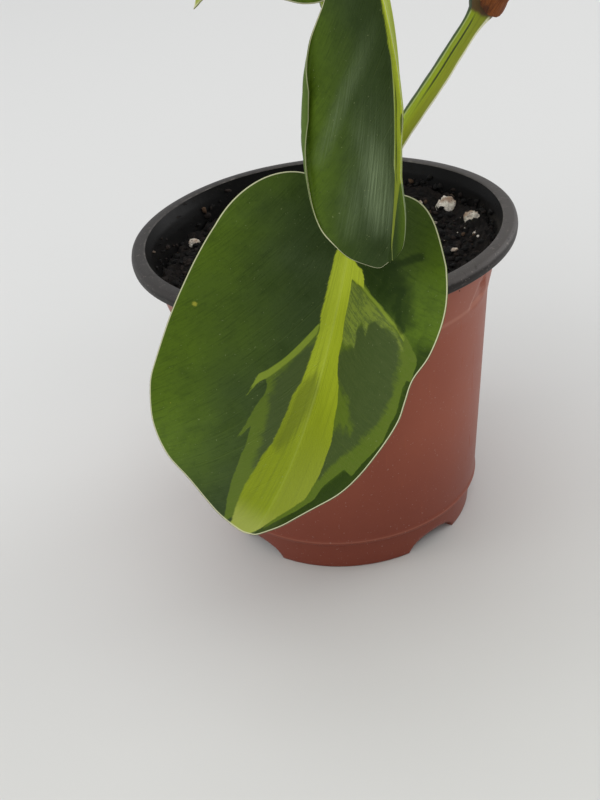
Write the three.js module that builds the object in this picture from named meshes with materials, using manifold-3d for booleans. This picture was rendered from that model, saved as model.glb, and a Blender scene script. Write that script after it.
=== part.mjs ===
// Brasil philodendron, a heart-leaf climber, growing in a two-tone nursery pot.
// Millimetres, +Z up. The origin is on the floor, at the middle of the pot.
// -Y is the front of the plant and +X is its right-hand side, seen from the front.
import * as THREE from 'three';
import { mergeVertices } from 'three/addons/utils/BufferGeometryUtils.js';
import Module from 'manifold-3d';

const wasm = await Module();
wasm.setup();

// Driving dimensions of the pot
const potHeight = 95;
const rimRadius = 55.3;
const lipWidth = 4.6;
const lipDrop = 3.7;
const wall = 1.2;
const throatRadius = 50.7;
const creaseRadius = 47.1;
const creaseHeight = 77.3;
const creaseStep = 0.8;
const creaseDrop = 3.6;
const stepRadius = 40.3;
const stepHeight = 10.8;
const footRadius = 37.8;
const footInnerRadius = 27;
const floorHeight = 8;
const footCount = 4;
const footCentre = -98;
const notchWidth = 18.4;
const notchHeight = 4.3;
const footPocketSpan = 52;
const drainInnerRadius = 31;
const drainSpan = 8;
const potSides = 48;

// Driving dimensions of the planting
const soilHeight = 86;
const soilDip = 2.6;
const soilBump = 1.5;
const seatGap = 0.3;
const bladeThickness = 0.7;
const petioleRadius = 1.5;
const nodeSwelling = 1.0;
const nodeSpread = 3.0;
const rodSides = 8;

const degrees = Math.PI / 180;
const colours = {
  pot: { color: 0x7d4034, roughness: 0.5, metalness: 0 },
  soil: { color: 0x1d1714, roughness: 1, metalness: 0 },
  perlite: { color: 0xd9d3c6, roughness: 0.95, metalness: 0 },
  stem: { color: 0x7d8f2a, roughness: 0.45, metalness: 0 },
  blade: { color: 0x2f5a22, roughness: 0.4, metalness: 0 },
  husk: { color: 0x8a4a22, roughness: 0.8, metalness: 0 },
};

const plant = new THREE.Group();

function addPart(name, geometry, look) {
  geometry.computeVertexNormals();
  const mesh = new THREE.Mesh(geometry, new THREE.MeshStandardMaterial(look));
  mesh.name = name;
  plant.add(mesh);
}

// Solids for cutting and joining
function toSolid(geometry) {
  const bare = geometry.clone();
  bare.deleteAttribute('normal');
  bare.deleteAttribute('uv');
  const merged = mergeVertices(bare, 1e-4);
  const vertProperties = Float32Array.from(merged.attributes.position.array);
  const triVerts = Uint32Array.from(merged.index.array);
  return new wasm.Manifold(new wasm.Mesh({ numProp: 3, vertProperties, triVerts }));
}

function toGeometry(solid) {
  const mesh = solid.getMesh();
  const geometry = new THREE.BufferGeometry();
  geometry.setAttribute('position', new THREE.BufferAttribute(Float32Array.from(mesh.vertProperties), 3));
  geometry.setIndex(new THREE.BufferAttribute(Uint32Array.from(mesh.triVerts), 1));
  return geometry;
}

// A turned body from [radius, height] points, listed counter-clockwise
function turned(points, sides = potSides) {
  const profile = points.map(([r, z]) => new THREE.Vector2(r, z));
  return new THREE.LatheGeometry(profile, sides).rotateX(Math.PI / 2);
}

// A block bounded by two arcs round the pot's axis, its angles in degrees
function arcBlock(innerRadius, outerRadius, low, high, centre, span) {
  const from = (centre - span / 2) * degrees;
  const to = (centre + span / 2) * degrees;
  const shape = new THREE.Shape();
  shape.absarc(0, 0, outerRadius, from, to, false);
  shape.absarc(0, 0, innerRadius, to, from, true);
  const settings = { depth: high - low, bevelEnabled: false, curveSegments: 8 };
  return new THREE.ExtrudeGeometry(shape, settings).translate(0, 0, low);
}

// Repeatable noise for soil and perlite: three waves that never line up
function unevenness(x, y, z = 0) {
  const coarse = Math.sin(0.37 * x + 1.1 + 0.3 * z) * Math.sin(0.41 * y + 0.4);
  const middle = Math.sin(0.93 * x - 0.55 * y + 2.0) * Math.cos(0.71 * y + 0.33 * x - 0.4 * z);
  const fine = Math.sin(2.3 * x + 0.7 * y + z) * Math.sin(1.9 * y - 1.3 * x + 0.5);
  return 0.5 * coarse + 0.35 * middle + 0.25 * fine;
}

// Pot: thin moulded wall, rolled lip, flared shoulder and four hollow feet
const cavityFloor = floorHeight + wall + 0.4;
const throatHeight = potHeight - lipDrop - 2;
const neckHeight = potHeight - lipDrop + 0.4;

function cavityProfile(inset) {
  return [
    [0, cavityFloor + inset],
    [footRadius - inset, cavityFloor + inset],
    [stepRadius - wall - inset, stepHeight + 2.2 + inset],
    [creaseRadius - creaseStep - wall - inset, creaseHeight - creaseDrop],
    [creaseRadius - wall - inset, creaseHeight],
    [throatRadius - 0.7 - wall - inset, throatHeight],
    [throatRadius - wall - inset, neckHeight],
  ];
}

function potShell() {
  const lipInner = rimRadius - lipWidth;
  const skirt = potHeight - lipDrop;
  const outside = [
    [0, floorHeight],
    [footInnerRadius, floorHeight],
    [footInnerRadius + 0.6, 0],
    [footRadius, 0],
    [footRadius + 0.9, floorHeight],
    [footRadius + 1.2, stepHeight - 0.6],
    [stepRadius, stepHeight + 0.3],
    [creaseRadius - creaseStep, creaseHeight - creaseDrop],
    [creaseRadius, creaseHeight],
    [throatRadius, neckHeight],
    [throatRadius + 1.2, potHeight - 1.6],
    [rimRadius - 1.2, potHeight - 1.9],
    [rimRadius - 1.1, skirt],
    [rimRadius - 0.2, skirt + 0.3],
    [rimRadius, skirt + 1.6],
    [rimRadius - 0.3, potHeight - 1.2],
    [rimRadius - 1.3, potHeight - 0.2],
    [rimRadius - 2.4, potHeight],
    [lipInner + 0.7, potHeight - 0.5],
    [lipInner, potHeight - 1.8],
  ];
  return toSolid(turned([...outside, ...cavityProfile(0).reverse()]));
}

function notch(azimuth) {
  const half = notchWidth / 2;
  const arch = new THREE.Shape();
  arch.moveTo(-half, -1);
  arch.lineTo(half, -1);
  arch.lineTo(half - 0.1, 0.7);
  arch.quadraticCurveTo(half - 1.2, notchHeight - 0.4, half - 5.5, notchHeight);
  arch.lineTo(-half + 5.5, notchHeight);
  arch.quadraticCurveTo(-half + 1.2, notchHeight - 0.4, -half + 0.1, 0.7);
  arch.closePath();
  const reach = footRadius - footInnerRadius + 8;
  const cutter = new THREE.ExtrudeGeometry(arch, { depth: reach, bevelEnabled: false, curveSegments: 5 });
  cutter.rotateX(Math.PI / 2).rotateZ(Math.PI / 2).translate(footInnerRadius - 4, 0, 0);
  return cutter.rotateZ(azimuth * degrees);
}

function makePot() {
  let pot = potShell();
  const pitch = 360 / footCount;
  for (let i = 0; i < footCount; i += 1) {
    const foot = footCentre + i * pitch;
    const gap = foot + pitch / 2;
    pot = pot.subtract(toSolid(notch(gap)));
    pot = pot.subtract(toSolid(footPocket(foot, 0)));
    pot = pot.subtract(toSolid(drainSlot(gap)));
  }
  return pot;
}

function drainSlot(centre) {
  return arcBlock(drainInnerRadius, footRadius - 1.4, 0, cavityFloor + 1, centre, drainSpan);
}

// The hollow in a foot, which the soil fills
function footPocket(centre, inset) {
  const span = footPocketSpan - 2 * inset;
  const inner = footInnerRadius + 1.8 + inset;
  const outer = footRadius - 1.3 - inset;
  return arcBlock(inner, outer, wall + inset, cavityFloor + 1, centre, span);
}

// Soil: a bumpy top, lower on the left, pressed against the wall and into the feet
function soilTop(x, y) {
  const tilt = soilDip * Math.max(0, -x / throatRadius);
  return soilHeight - tilt + soilBump * unevenness(x, y);
}

function makeSoil() {
  const rings = 7;
  const reach = rimRadius;
  const profile = [[0, 0], [reach, 0]];
  for (let i = rings; i >= 0; i -= 1) {
    profile.push([(reach * i) / rings, soilHeight]);
  }
  const block = turned(profile, 32);
  const place = block.attributes.position;
  for (let i = 0; i < place.count; i += 1) {
    if (place.getZ(i) > soilHeight / 2) {
      place.setZ(i, soilTop(place.getX(i), place.getY(i)));
    }
  }
  const cavity = [...cavityProfile(seatGap), [0, neckHeight]];
  let soil = toSolid(block).intersect(toSolid(turned(cavity)));
  for (let i = 0; i < footCount; i += 1) {
    soil = soil.add(toSolid(footPocket(footCentre + (i * 360) / footCount, seatGap)));
  }
  return soil;
}

// Perlite: pale lumps half sunk in the soil
const perliteLumps = [
  { place: [39.0, 20.5], size: [3.4, 2.9, 2.9] },
  { place: [44.0, 9.6], size: [2.5, 2.1, 2.1] },
  { place: [-38.6, 21.8], size: [1.7, 1.4, 1.4] },
  { place: [-19, 36], size: [2.3, 1.9, 1.8] },
  { place: [24, -36], size: [2.0, 2.3, 1.7] },
];

function perliteLump(lump, swell) {
  const [x, y] = lump.place;
  const stone = new THREE.IcosahedronGeometry(1, 1);
  const place = stone.attributes.position;
  for (let i = 0; i < place.count; i += 1) {
    const corner = new THREE.Vector3().fromBufferAttribute(place, i);
    const lumpy = 1 + 0.16 * unevenness(7 * corner.x + x, 7 * corner.y + y, 7 * corner.z);
    corner.multiplyScalar(lumpy);
    const [sx, sy, sz] = lump.size;
    place.setXYZ(i, corner.x * (sx + swell), corner.y * (sy + swell), corner.z * (sz + swell));
  }
  return stone.translate(x, y, soilTop(x, y) + 0.5);
}

// A rod of changing thickness bent along a curve: stems, petioles and the rolled leaf
function bentRod(points, radiusAt, steps) {
  const curve = new THREE.CatmullRomCurve3(points.map((p) => new THREE.Vector3(...p)), false, 'centripetal');
  const frames = curve.computeFrenetFrames(steps, false);
  const profile = [new THREE.Vector2(0, 0)];
  for (let i = 0; i <= steps; i += 1) {
    const share = i / steps;
    profile.push(new THREE.Vector2(radiusAt(share, curve.getPointAt(share)), i));
  }
  profile.push(new THREE.Vector2(0, steps));
  const rod = new THREE.LatheGeometry(profile, rodSides);
  const place = rod.attributes.position;
  for (let i = 0; i < place.count; i += 1) {
    const step = Math.round(place.getY(i));
    const centre = curve.getPointAt(step / steps);
    centre.addScaledVector(frames.normals[step], place.getX(i));
    centre.addScaledVector(frames.binormals[step], -place.getZ(i));
    place.setXYZ(i, centre.x, centre.y, centre.z);
  }
  return rod;
}

// The two vines. A vine swells at each node, where a petiole leaves it.
const vines = [
  {
    name: 'vine_stem_1',
    path: [
      [3, 0, 62], [5.4, -2, 90], [22.7, -4, 117.3], [37.8, -1, 137.3], [49.9, 3, 153.5],
      [56.5, 6, 178], [55, 9, 206],
    ],
    radius: [2.7, 3.0, 1.7],
    nodeHeights: [95, 151.5, 187],
  },
  {
    name: 'vine_stem_2',
    path: [[9, 8, 62], [8, 6, 92], [9.5, 6, 130], [8.4, 9, 160], [5, 12, 184], [1, 14, 201]],
    radius: [2.4, 2.2, 1.6],
    nodeHeights: [127, 155, 169, 194],
  },
];

function vineRadius(vine, share, centre) {
  const [foot, middle, end] = vine.radius;
  const { lerp } = THREE.MathUtils;
  const plain = share < 0.5 ? lerp(foot, middle, 2 * share) : lerp(middle, end, 2 * share - 1);
  let swelling = 0;
  for (const height of vine.nodeHeights) {
    swelling += nodeSwelling * Math.exp(-(((centre.z - height) / nodeSpread) ** 2));
  }
  return plain + swelling;
}

function vineRod(vine, swell) {
  const [[x, y, z], ...rest] = vine.path;
  const radiusAt = (share, centre) => vineRadius(vine, share, centre) + swell;
  return bentRod([[x, y, z - swell], ...rest], radiusAt, 36);
}

// A leaf blade is laid out flat round the point where its petiole joins, u along the
// midrib towards the tip and v across it, and is then bent along the midrib's curve.
const heartMargin = [
  [1, 0], [0.96, 0.04], [0.9, 0.15], [0.83, 0.37], [0.69, 0.74], [0.48, 0.98], [0.24, 0.98],
  [0.04, 0.83], [-0.11, 0.6], [-0.17, 0.34], [-0.13, 0.12], [-0.03, 0],
];

const leaves = [
  {
    name: 'front_low',
    base: [4.1, -53, 111.4],
    bend: [-10, -69.5, 64.2],
    tip: [-27, -86.7, 52.6],
    faceAtBase: [0.03, -0.71, 0.70],
    faceAtTip: [-0.54, -0.76, 0.36],
    fold: [22, 56],
    curl: [4, 18],
    halfWidth: 40.5,
    right: [
      [1, 0], [1.0, 0.1], [0.99, 0.3], [0.93, 0.65], [0.79, 0.89], [0.62, 0.985], [0.35, 0.98],
      [0.125, 0.92], [-0.05, 0.8], [-0.16, 0.6], [-0.2, 0.37], [-0.16, 0.14], [-0.03, 0],
    ],
    left: [
      [1, 0], [0.995, 0.2], [0.98, 0.46], [0.83, 0.87], [0.66, 1.0], [0.5, 1.0], [0.355, 0.95],
      [0.26, 1.0], [0.12, 0.965], [0.01, 0.85], [-0.13, 0.68], [-0.18, 0.48], [-0.16, 0.2], [-0.03, 0],
    ],
    wave: [1.1, 5, 0.6],
    petiole: [[8, -4, 92], [7, -13, 112], [6, -31, 126.5], [5.2, -46, 123]],
  },
  {
    name: 'front_high',
    base: [12.4, -71.5, 183],
    bend: [19.5, -72.5, 160],
    tip: [10.5, -78, 115.1],
    faceAtBase: [-0.40, -0.84, 0.37],
    faceAtTip: [-0.16, -0.95, 0.28],
    fold: [9, 80],
    curl: [26, 12],
    halfWidth: 22,
    right: [
      [1, 0], [1, 0.15], [0.965, 0.49], [0.89, 0.71], [0.8, 0.84], [0.68, 0.95], [0.53, 0.98],
      [0.38, 0.92], [0.24, 0.79], [0.11, 0.59], [0.01, 0.42], [-0.04, 0.25], [-0.02, 0.08], [-0.015, 0],
    ],
    left: [
      [1, 0], [0.995, 0.2], [0.94, 0.55], [0.83, 0.8], [0.68, 0.9], [0.5, 0.96], [0.33, 0.88],
      [0.17, 0.7], [0.04, 0.5], [-0.04, 0.28], [-0.02, 0.08], [-0.015, 0],
    ],
    wave: [1.0, 3, 2.2],
    petiole: [[9.5, 2, 128], [9.5, -14, 142], [9.5, -38, 159], [10.8, -60, 180]],
  },
  {
    name: 'front_left',
    base: [22, -20, 204],
    bend: [0, -26, 202],
    tip: [-24.9, -31, 165.6],
    faceAtBase: [-0.1, -0.55, 0.83],
    faceAtTip: [-0.5, -0.6, 0.6],
    fold: [18, 2],
    curl: [36, 58],
    halfWidth: 28,
    left: [
      [1, 0], [0.955, 0.025], [0.9, 0.11], [0.87, 0.23], [0.83, 0.44], [0.8, 0.62], [0.77, 0.78],
      [0.71, 0.9], [0.6, 0.99], [0.45, 1.02], [0.24, 0.98], [0.04, 0.83], [-0.11, 0.6], [-0.17, 0.34],
      [-0.13, 0.12], [-0.03, 0],
    ],
    wave: [1.2, 4, 1.1],
    petiole: [[9, 6.5, 157], [15.5, 1, 172], [22, -8, 190]],
  },
  {
    name: 'right',
    base: [73.4, -6, 203],
    bend: [94.4, -10, 200],
    tip: [104.6, -14, 145],
    faceAtBase: [0.45, -0.35, 0.82],
    faceAtTip: [0.85, -0.3, 0.4],
    fold: [16, 16],
    curl: [40, 34],
    halfWidth: 31,
    wave: [1.3, 5, 2.0],
    petiole: [[52.6, 4.2, 163], [58.4, 1, 178], [66, -4, 194]],
  },
  {
    name: 'left',
    base: [-58, 16, 212],
    bend: [-86, 22, 212],
    tip: [-107.6, 28, 158],
    faceAtBase: [-0.35, -0.4, 0.84],
    faceAtTip: [-0.8, -0.35, 0.45],
    fold: [18, 16],
    curl: [38, 42],
    halfWidth: 33,
    wave: [1.4, 5, 0.3],
    petiole: [[2, 13.4, 195], [-12, 14, 206], [-36, 14.5, 212]],
  },
  {
    name: 'back',
    base: [4, 62, 206],
    bend: [0, 92, 204],
    tip: [6, 107.6, 150],
    faceAtBase: [0.05, 0.45, 0.88],
    faceAtTip: [0.1, 0.85, 0.5],
    fold: [15, 18],
    curl: [40, 38],
    halfWidth: 32,
    wave: [1.3, 6, 1.5],
    petiole: [[7.4, 12, 168], [7, 22, 184], [5, 44, 200]],
  },
  {
    name: 'back_right',
    base: [66, 36, 218],
    bend: [80, 52, 219],
    tip: [88, 66, 180],
    faceAtBase: [0.4, 0.2, 0.88],
    faceAtTip: [0.7, 0.5, 0.5],
    fold: [26, 24],
    curl: [36, 34],
    halfWidth: 21,
    wave: [0.9, 4, 0.9],
    petiole: [[58, 8.5, 187], [61, 18, 203], [64, 28, 214]],
  },
];

function midribOf(leaf) {
  const curve = new THREE.QuadraticBezierCurve3(
    new THREE.Vector3(...leaf.base), new THREE.Vector3(...leaf.bend), new THREE.Vector3(...leaf.tip));
  curve.arcLengthDivisions = 80;
  return curve;
}

// Where the flat point (u, v) comes to lie, lifted off the upper face by lift
function bladePoint(leaf, u, v, lift = 0) {
  const curve = midribOf(leaf);
  const length = curve.getLength();
  const along = THREE.MathUtils.clamp(u / length, 0, 1);
  const point = curve.getPointAt(along);
  const ahead = curve.getTangentAt(along);
  const face = new THREE.Vector3(...leaf.faceAtBase).lerp(new THREE.Vector3(...leaf.faceAtTip), along);
  face.addScaledVector(ahead, -face.dot(ahead)).normalize();
  const side = new THREE.Vector3().crossVectors(ahead, face);
  point.addScaledVector(ahead, u - along * length);
  const hand = v >= 0 ? 0 : 1;
  const fold = leaf.fold[hand] * degrees;
  const bendRate = (leaf.curl[hand] * degrees) / leaf.halfWidth;
  const slope = fold - bendRate * Math.abs(v);
  const out = (Math.sin(fold) - Math.sin(slope)) / bendRate;
  const up = (Math.cos(slope) - Math.cos(fold)) / bendRate;
  const sign = v >= 0 ? 1 : -1;
  const [height, count, phase] = leaf.wave;
  const reach = Math.hypot((u - 0.25 * length) / (0.75 * length), v / leaf.halfWidth);
  const turn = Math.atan2(v, u - 0.25 * length);
  const ripple = height * Math.min(reach, 1.1) ** 4 * Math.sin(count * turn + phase);
  point.addScaledVector(side, sign * (out - Math.sin(slope) * lift));
  return point.addScaledVector(face, up + ripple + Math.cos(slope) * lift);
}

// The margin as flat points: down the right side from the tip to the notch, and back up the left
function marginOf(leaf, perSide) {
  const length = midribOf(leaf).getLength();
  const sideCurve = (points, sign) => new THREE.SplineCurve(
    points.map(([u, v]) => new THREE.Vector2(u * length, sign * v * leaf.halfWidth)));
  const right = sideCurve(leaf.right ?? heartMargin, 1).getSpacedPoints(perSide);
  const left = sideCurve(leaf.left ?? leaf.right ?? heartMargin, -1).getSpacedPoints(perSide);
  return [...right, ...left.reverse().slice(1, -1)];
}

function blade(leaf, perSide = 19, rings = [0.3, 0.56, 0.78, 0.92, 1]) {
  const margin = marginOf(leaf, perSide);
  const count = margin.length;
  const flat = [new THREE.Vector2(0, 0)];
  for (const share of rings) {
    flat.push(...margin.map((m) => m.clone().multiplyScalar(share)));
  }
  const faces = [];
  for (let j = 0; j < count; j += 1) {
    const next = (j + 1) % count;
    faces.push([0, 1 + next, 1 + j]);
    for (let ring = 1; ring < rings.length; ring += 1) {
      const inner = 1 + (ring - 1) * count;
      const outer = inner + count;
      faces.push([inner + j, inner + next, outer + j]);
      faces.push([inner + next, outer + next, outer + j]);
    }
  }
  const positions = [];
  for (const lift of [0, -bladeThickness]) {
    for (const { x, y } of flat) {
      positions.push(...bladePoint(leaf, x, y, lift));
    }
  }
  const under = flat.length;
  const index = [];
  for (const [a, b, c] of faces) {
    index.push(a, b, c);
    index.push(under + a, under + c, under + b);
  }
  const edge = 1 + (rings.length - 1) * count;
  for (let j = 0; j < count; j += 1) {
    const here = edge + j;
    const next = edge + ((j + 1) % count);
    index.push(here, next, under + here);
    index.push(next, under + next, under + here);
  }
  const geometry = new THREE.BufferGeometry();
  geometry.setAttribute('position', new THREE.Float32BufferAttribute(positions, 3));
  geometry.setIndex(index);
  return geometry;
}

// A petiole starts in the vine's node and ends against the blade's underside
function petioleOf(leaf) {
  const below = bladeThickness + seatGap + petioleRadius + 0.5;
  const nearJoint = bladePoint(leaf, -5, 0, -below - 1).toArray();
  const joint = bladePoint(leaf, 2, 0, -below).toArray();
  const thickness = (t) => petioleRadius * (1.45 - 0.55 * Math.min(1, 3 * t) + 0.12 * Math.max(0, 8 * t - 7));
  return bentRod([...leaf.petiole, nearJoint, joint], thickness, 16);
}

// The rolled new leaf at the end of the first vine, and the dried sheath at its brown node
function rolledLeaf() {
  const spindle = (t) => 0.5 + 2.3 * Math.sin(Math.PI * Math.min(1, t + 0.12)) ** 0.8 * (1 - 0.55 * t);
  return bentRod([[54.9, 9.05, 206.5], [53, 9, 222], [52, 7, 238], [54, 5, 252]], spindle, 14);
}

const plantSolids = vines.map((vine) => toSolid(vineRod(vine, seatGap)));

function driedSheath() {
  const sheath = {
    base: [51.6, -1.4, 148.2],
    bend: [54.6, -1.6, 153.5],
    tip: [59.0, -3.2, 158.5],
    faceAtBase: [-0.45, 0.75, 0.45],
    faceAtTip: [-0.6, 0.6, 0.5],
    fold: [2, 2],
    curl: [-95, -95],
    halfWidth: 8,
    right: [[1, 0], [0.95, 0.35], [0.85, 0.8], [0.4, 0.95], [0.02, 0.85], [-0.1, 0.4], [-0.06, 0]],
    wave: [0.3, 4, 0],
  };
  return blade(sheath, 12, [0.35, 0.7, 1]);
}

let soil = makeSoil();
for (const solid of plantSolids) {
  soil = soil.subtract(solid);
}
for (const lump of perliteLumps) {
  soil = soil.subtract(toSolid(perliteLump(lump, seatGap)));
}

addPart('pot', toGeometry(makePot()), colours.pot);
addPart('soil', toGeometry(soil), colours.soil);
perliteLumps.forEach((lump, i) => addPart(`perlite_${i + 1}`, perliteLump(lump, 0), colours.perlite));
for (const vine of vines) {
  addPart(vine.name, vineRod(vine, 0), colours.stem);
}
for (const leaf of leaves) {
  let petiole = toSolid(petioleOf(leaf));
  for (const solid of plantSolids) {
    petiole = petiole.subtract(solid);
  }
  addPart(`petiole_${leaf.name}`, toGeometry(petiole), colours.stem);
  addPart(`leaf_${leaf.name}`, blade(leaf), colours.blade);
}
addPart('new_leaf_rolled', rolledLeaf(), colours.stem);
addPart('dried_sheath', driedSheath(), colours.husk);

export default plant;
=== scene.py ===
import math
import random
import bmesh
import bpy
import numpy as np
from mathutils import Matrix, Vector, noise


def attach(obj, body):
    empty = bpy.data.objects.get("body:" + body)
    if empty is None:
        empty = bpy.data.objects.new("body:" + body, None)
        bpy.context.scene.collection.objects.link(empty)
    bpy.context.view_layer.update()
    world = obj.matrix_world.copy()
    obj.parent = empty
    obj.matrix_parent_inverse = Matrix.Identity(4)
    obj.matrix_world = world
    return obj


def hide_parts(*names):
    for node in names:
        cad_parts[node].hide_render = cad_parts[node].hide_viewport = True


# Dresses the potted philodendron: pot, soil, vines, leaf stalks and blades.
# Sizes below are in millimetres and are turned into metres where a mesh is made.
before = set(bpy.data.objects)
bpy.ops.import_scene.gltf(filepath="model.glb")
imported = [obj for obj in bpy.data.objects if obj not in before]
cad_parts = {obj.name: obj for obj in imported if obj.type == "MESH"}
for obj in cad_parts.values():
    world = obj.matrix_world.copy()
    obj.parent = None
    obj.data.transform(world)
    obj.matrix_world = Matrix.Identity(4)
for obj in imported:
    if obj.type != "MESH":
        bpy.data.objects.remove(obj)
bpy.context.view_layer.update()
mm = 0.001
print("frame loaded")


# Camera, light and floor

view = {
    "eye": (-12.55, -330.57, 235.29),
    "ahead": (0.0, 0.8582, -0.5133),
    "right": (0.9922, -0.0640, -0.1070),
    "focalPixels": 1243,
    "imageHeight": 800,
    "sensor": 36,
}


def makeCamera():
    camera = bpy.data.cameras.new("camera")
    camera.sensor_width = view["sensor"]
    camera.lens = view["focalPixels"] * view["sensor"] / view["imageHeight"]
    camera.clip_start = 0.01
    camera.clip_end = 30
    holder = bpy.data.objects.new("camera", camera)
    ahead = Vector(view["ahead"]).normalized()
    right = Vector(view["right"])
    right = (right - ahead * right.dot(ahead)).normalized()
    up = right.cross(ahead)
    turn = Matrix((right, up, -ahead)).transposed().to_4x4()
    holder.matrix_world = Matrix.Translation(Vector(view["eye"]) * mm) @ turn
    bpy.context.scene.collection.objects.link(holder)
    bpy.context.scene.camera = holder


lights = [
    {"name": "top softbox", "place": (0.1, 0.1, 2.3), "aim": (0, 0, 0), "size": 2.2, "power": 11},
    {"name": "front softbox", "place": (-0.28, -1.96, 2.66), "aim": (0, 0, 0), "size": 2.24, "power": 19},
    {"name": "left fill", "place": (-1.5, -0.5, 1.2), "aim": (0, 0, 0.1), "size": 1.2, "power": 6.8},
    {"name": "right window", "place": (1.75, 0.67, 0.68), "aim": (0, 0, 0.1), "size": 1.1, "power": 8.2},
]
surroundings = {"colour": (0.97, 0.98, 1.0), "strength": 0.68}


def makeLights():
    for spec in lights:
        lamp = bpy.data.lights.new(spec["name"], "AREA")
        lamp.size = spec["size"]
        lamp.energy = spec["power"]
        holder = bpy.data.objects.new(spec["name"], lamp)
        holder.location = spec["place"]
        aim = Vector(spec["aim"]) - Vector(spec["place"])
        holder.rotation_euler = aim.to_track_quat("-Z", "Y").to_euler()
        bpy.context.scene.collection.objects.link(holder)
    world = bpy.data.worlds.new("surroundings")
    world.use_nodes = True
    background = world.node_tree.nodes["Background"]
    background.inputs["Color"].default_value = (*surroundings["colour"], 1)
    background.inputs["Strength"].default_value = surroundings["strength"]
    bpy.context.scene.world = world
    bpy.context.scene.view_settings.view_transform = "Standard"


# Shader maths: a Wire is one socket that takes arithmetic

class Wire:
    def __init__(self, shader, socket):
        self.shader = shader
        self.socket = socket

    def __add__(self, other):
        return self.shader.maths("ADD", self, other)

    def __radd__(self, other):
        return self.shader.maths("ADD", other, self)

    def __sub__(self, other):
        return self.shader.maths("SUBTRACT", self, other)

    def __rsub__(self, other):
        return self.shader.maths("SUBTRACT", other, self)

    def __mul__(self, other):
        return self.shader.maths("MULTIPLY", self, other)

    def __rmul__(self, other):
        return self.shader.maths("MULTIPLY", other, self)


class Shader:
    def __init__(self, name, **constants):
        self.material = bpy.data.materials.new(name)
        self.material.use_nodes = True
        self.tree = self.material.node_tree
        self.surface = self.tree.nodes["Principled BSDF"]
        for socket, value in constants.items():
            self.surface.inputs[socket.replace("_", " ")].default_value = value

    def feed(self, socket, value):
        if isinstance(value, Wire):
            self.tree.links.new(value.socket, socket)
        else:
            socket.default_value = value

    def node(self, kind, settings, values, output=0):
        made = self.tree.nodes.new(kind)
        for key, value in settings.items():
            setattr(made, key, value)
        for key, value in values.items():
            self.feed(made.inputs[key], value)
        return Wire(self, made.outputs[output])

    def maths(self, operation, *values):
        return self.node("ShaderNodeMath", {"operation": operation}, dict(enumerate(values)))

    def attribute(self, name):
        return self.node("ShaderNodeAttribute", {"attribute_name": name}, {}, "Fac")

    def place(self):
        return self.node("ShaderNodeTexCoord", {}, {}, "Object")

    def coordinate(self, where, axis):
        return self.node("ShaderNodeSeparateXYZ", {}, {"Vector": where}, axis)

    def height(self):
        return self.coordinate(self.place(), 2)

    def absolute(self, value):
        return self.maths("ABSOLUTE", value)

    def stretched(self, where, scale):
        return self.node("ShaderNodeMapping", {}, {"Vector": where, "Scale": scale})

    def vector(self, x, y, z):
        return self.node("ShaderNodeCombineXYZ", {}, {0: x, 1: y, 2: z})

    def noise(self, where, scale, detail=3.0, roughness=0.55):
        values = {"Vector": where, "Scale": scale, "Detail": detail, "Roughness": roughness}
        return self.node("ShaderNodeTexNoise", {}, values)

    def cells(self, where, scale):
        return self.node("ShaderNodeTexVoronoi", {}, {"Vector": where, "Scale": scale})

    def step(self, value, low, high):
        values = {"Value": value, "From Min": low, "From Max": high}
        return self.node("ShaderNodeMapRange", {"interpolation_type": "SMOOTHSTEP"}, values)

    def fade(self, value, low, high):
        return 1 - self.step(value, low, high)

    def mix(self, share, first, second):
        values = {0: share, 6: first, 7: second}
        return self.node("ShaderNodeMix", {"data_type": "RGBA"}, values, 2)

    def bump(self, height, strength, distance):
        values = {"Height": height, "Strength": strength, "Distance": distance}
        return self.node("ShaderNodeBump", {}, values)

    def wear(self, colour=None, roughness=None, normal=None):
        for socket, value in (("Base Color", colour), ("Roughness", roughness), ("Normal", normal)):
            if value is not None:
                self.feed(self.surface.inputs[socket], value)
        return self.material


def linearLight(value):
    share = value / 255
    return ((share + 0.055) / 1.055) ** 2.4 if value > 10 else share / 12.92


def tone(red, green, blue):  # a colour as seen on screen, 0 to 255
    return (linearLight(red), linearLight(green), linearLight(blue), 1)


# Meshes

def makePiece(name, points, faces, materials, replaced, attributes=None, faceMaterials=None):
    mesh = bpy.data.meshes.new(name)
    mesh.from_pydata((np.asarray(points) * mm).tolist(), [], faces)
    for label, values in (attributes or {}).items():
        layer = mesh.attributes.new(label, "FLOAT", "POINT")
        layer.data.foreach_set("value", np.asarray(values, dtype=np.float32))
    for material in materials:
        mesh.materials.append(material)
    if faceMaterials is not None:
        mesh.polygons.foreach_set("material_index", np.asarray(faceMaterials, dtype=np.int32))
    mesh.shade_smooth()
    piece = bpy.data.objects.new(name, mesh)
    bpy.context.scene.collection.objects.link(piece)
    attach(piece, "root")
    if replaced:
        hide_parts(*replaced)
    return piece


def unit(vectors):
    vectors = np.asarray(vectors, float)
    return vectors / np.linalg.norm(vectors, axis=-1, keepdims=True)


def softStep(low, high, value):
    t = np.clip((value - low) / (high - low), 0, 1)
    return t * t * (3 - 2 * t)


# Unevenness that is the same in each run: three waves that never line up
def unevenness(x, y, z=0.0):
    coarse = np.sin(0.37 * x + 1.1 + 0.3 * z) * np.sin(0.41 * y + 0.4)
    middle = np.sin(0.93 * x - 0.55 * y + 2.0) * np.cos(0.71 * y + 0.33 * x - 0.4 * z)
    fine = np.sin(2.3 * x + 0.7 * y + z) * np.sin(1.9 * y - 1.3 * x + 0.5)
    return 0.5 * coarse + 0.35 * middle + 0.25 * fine


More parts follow.
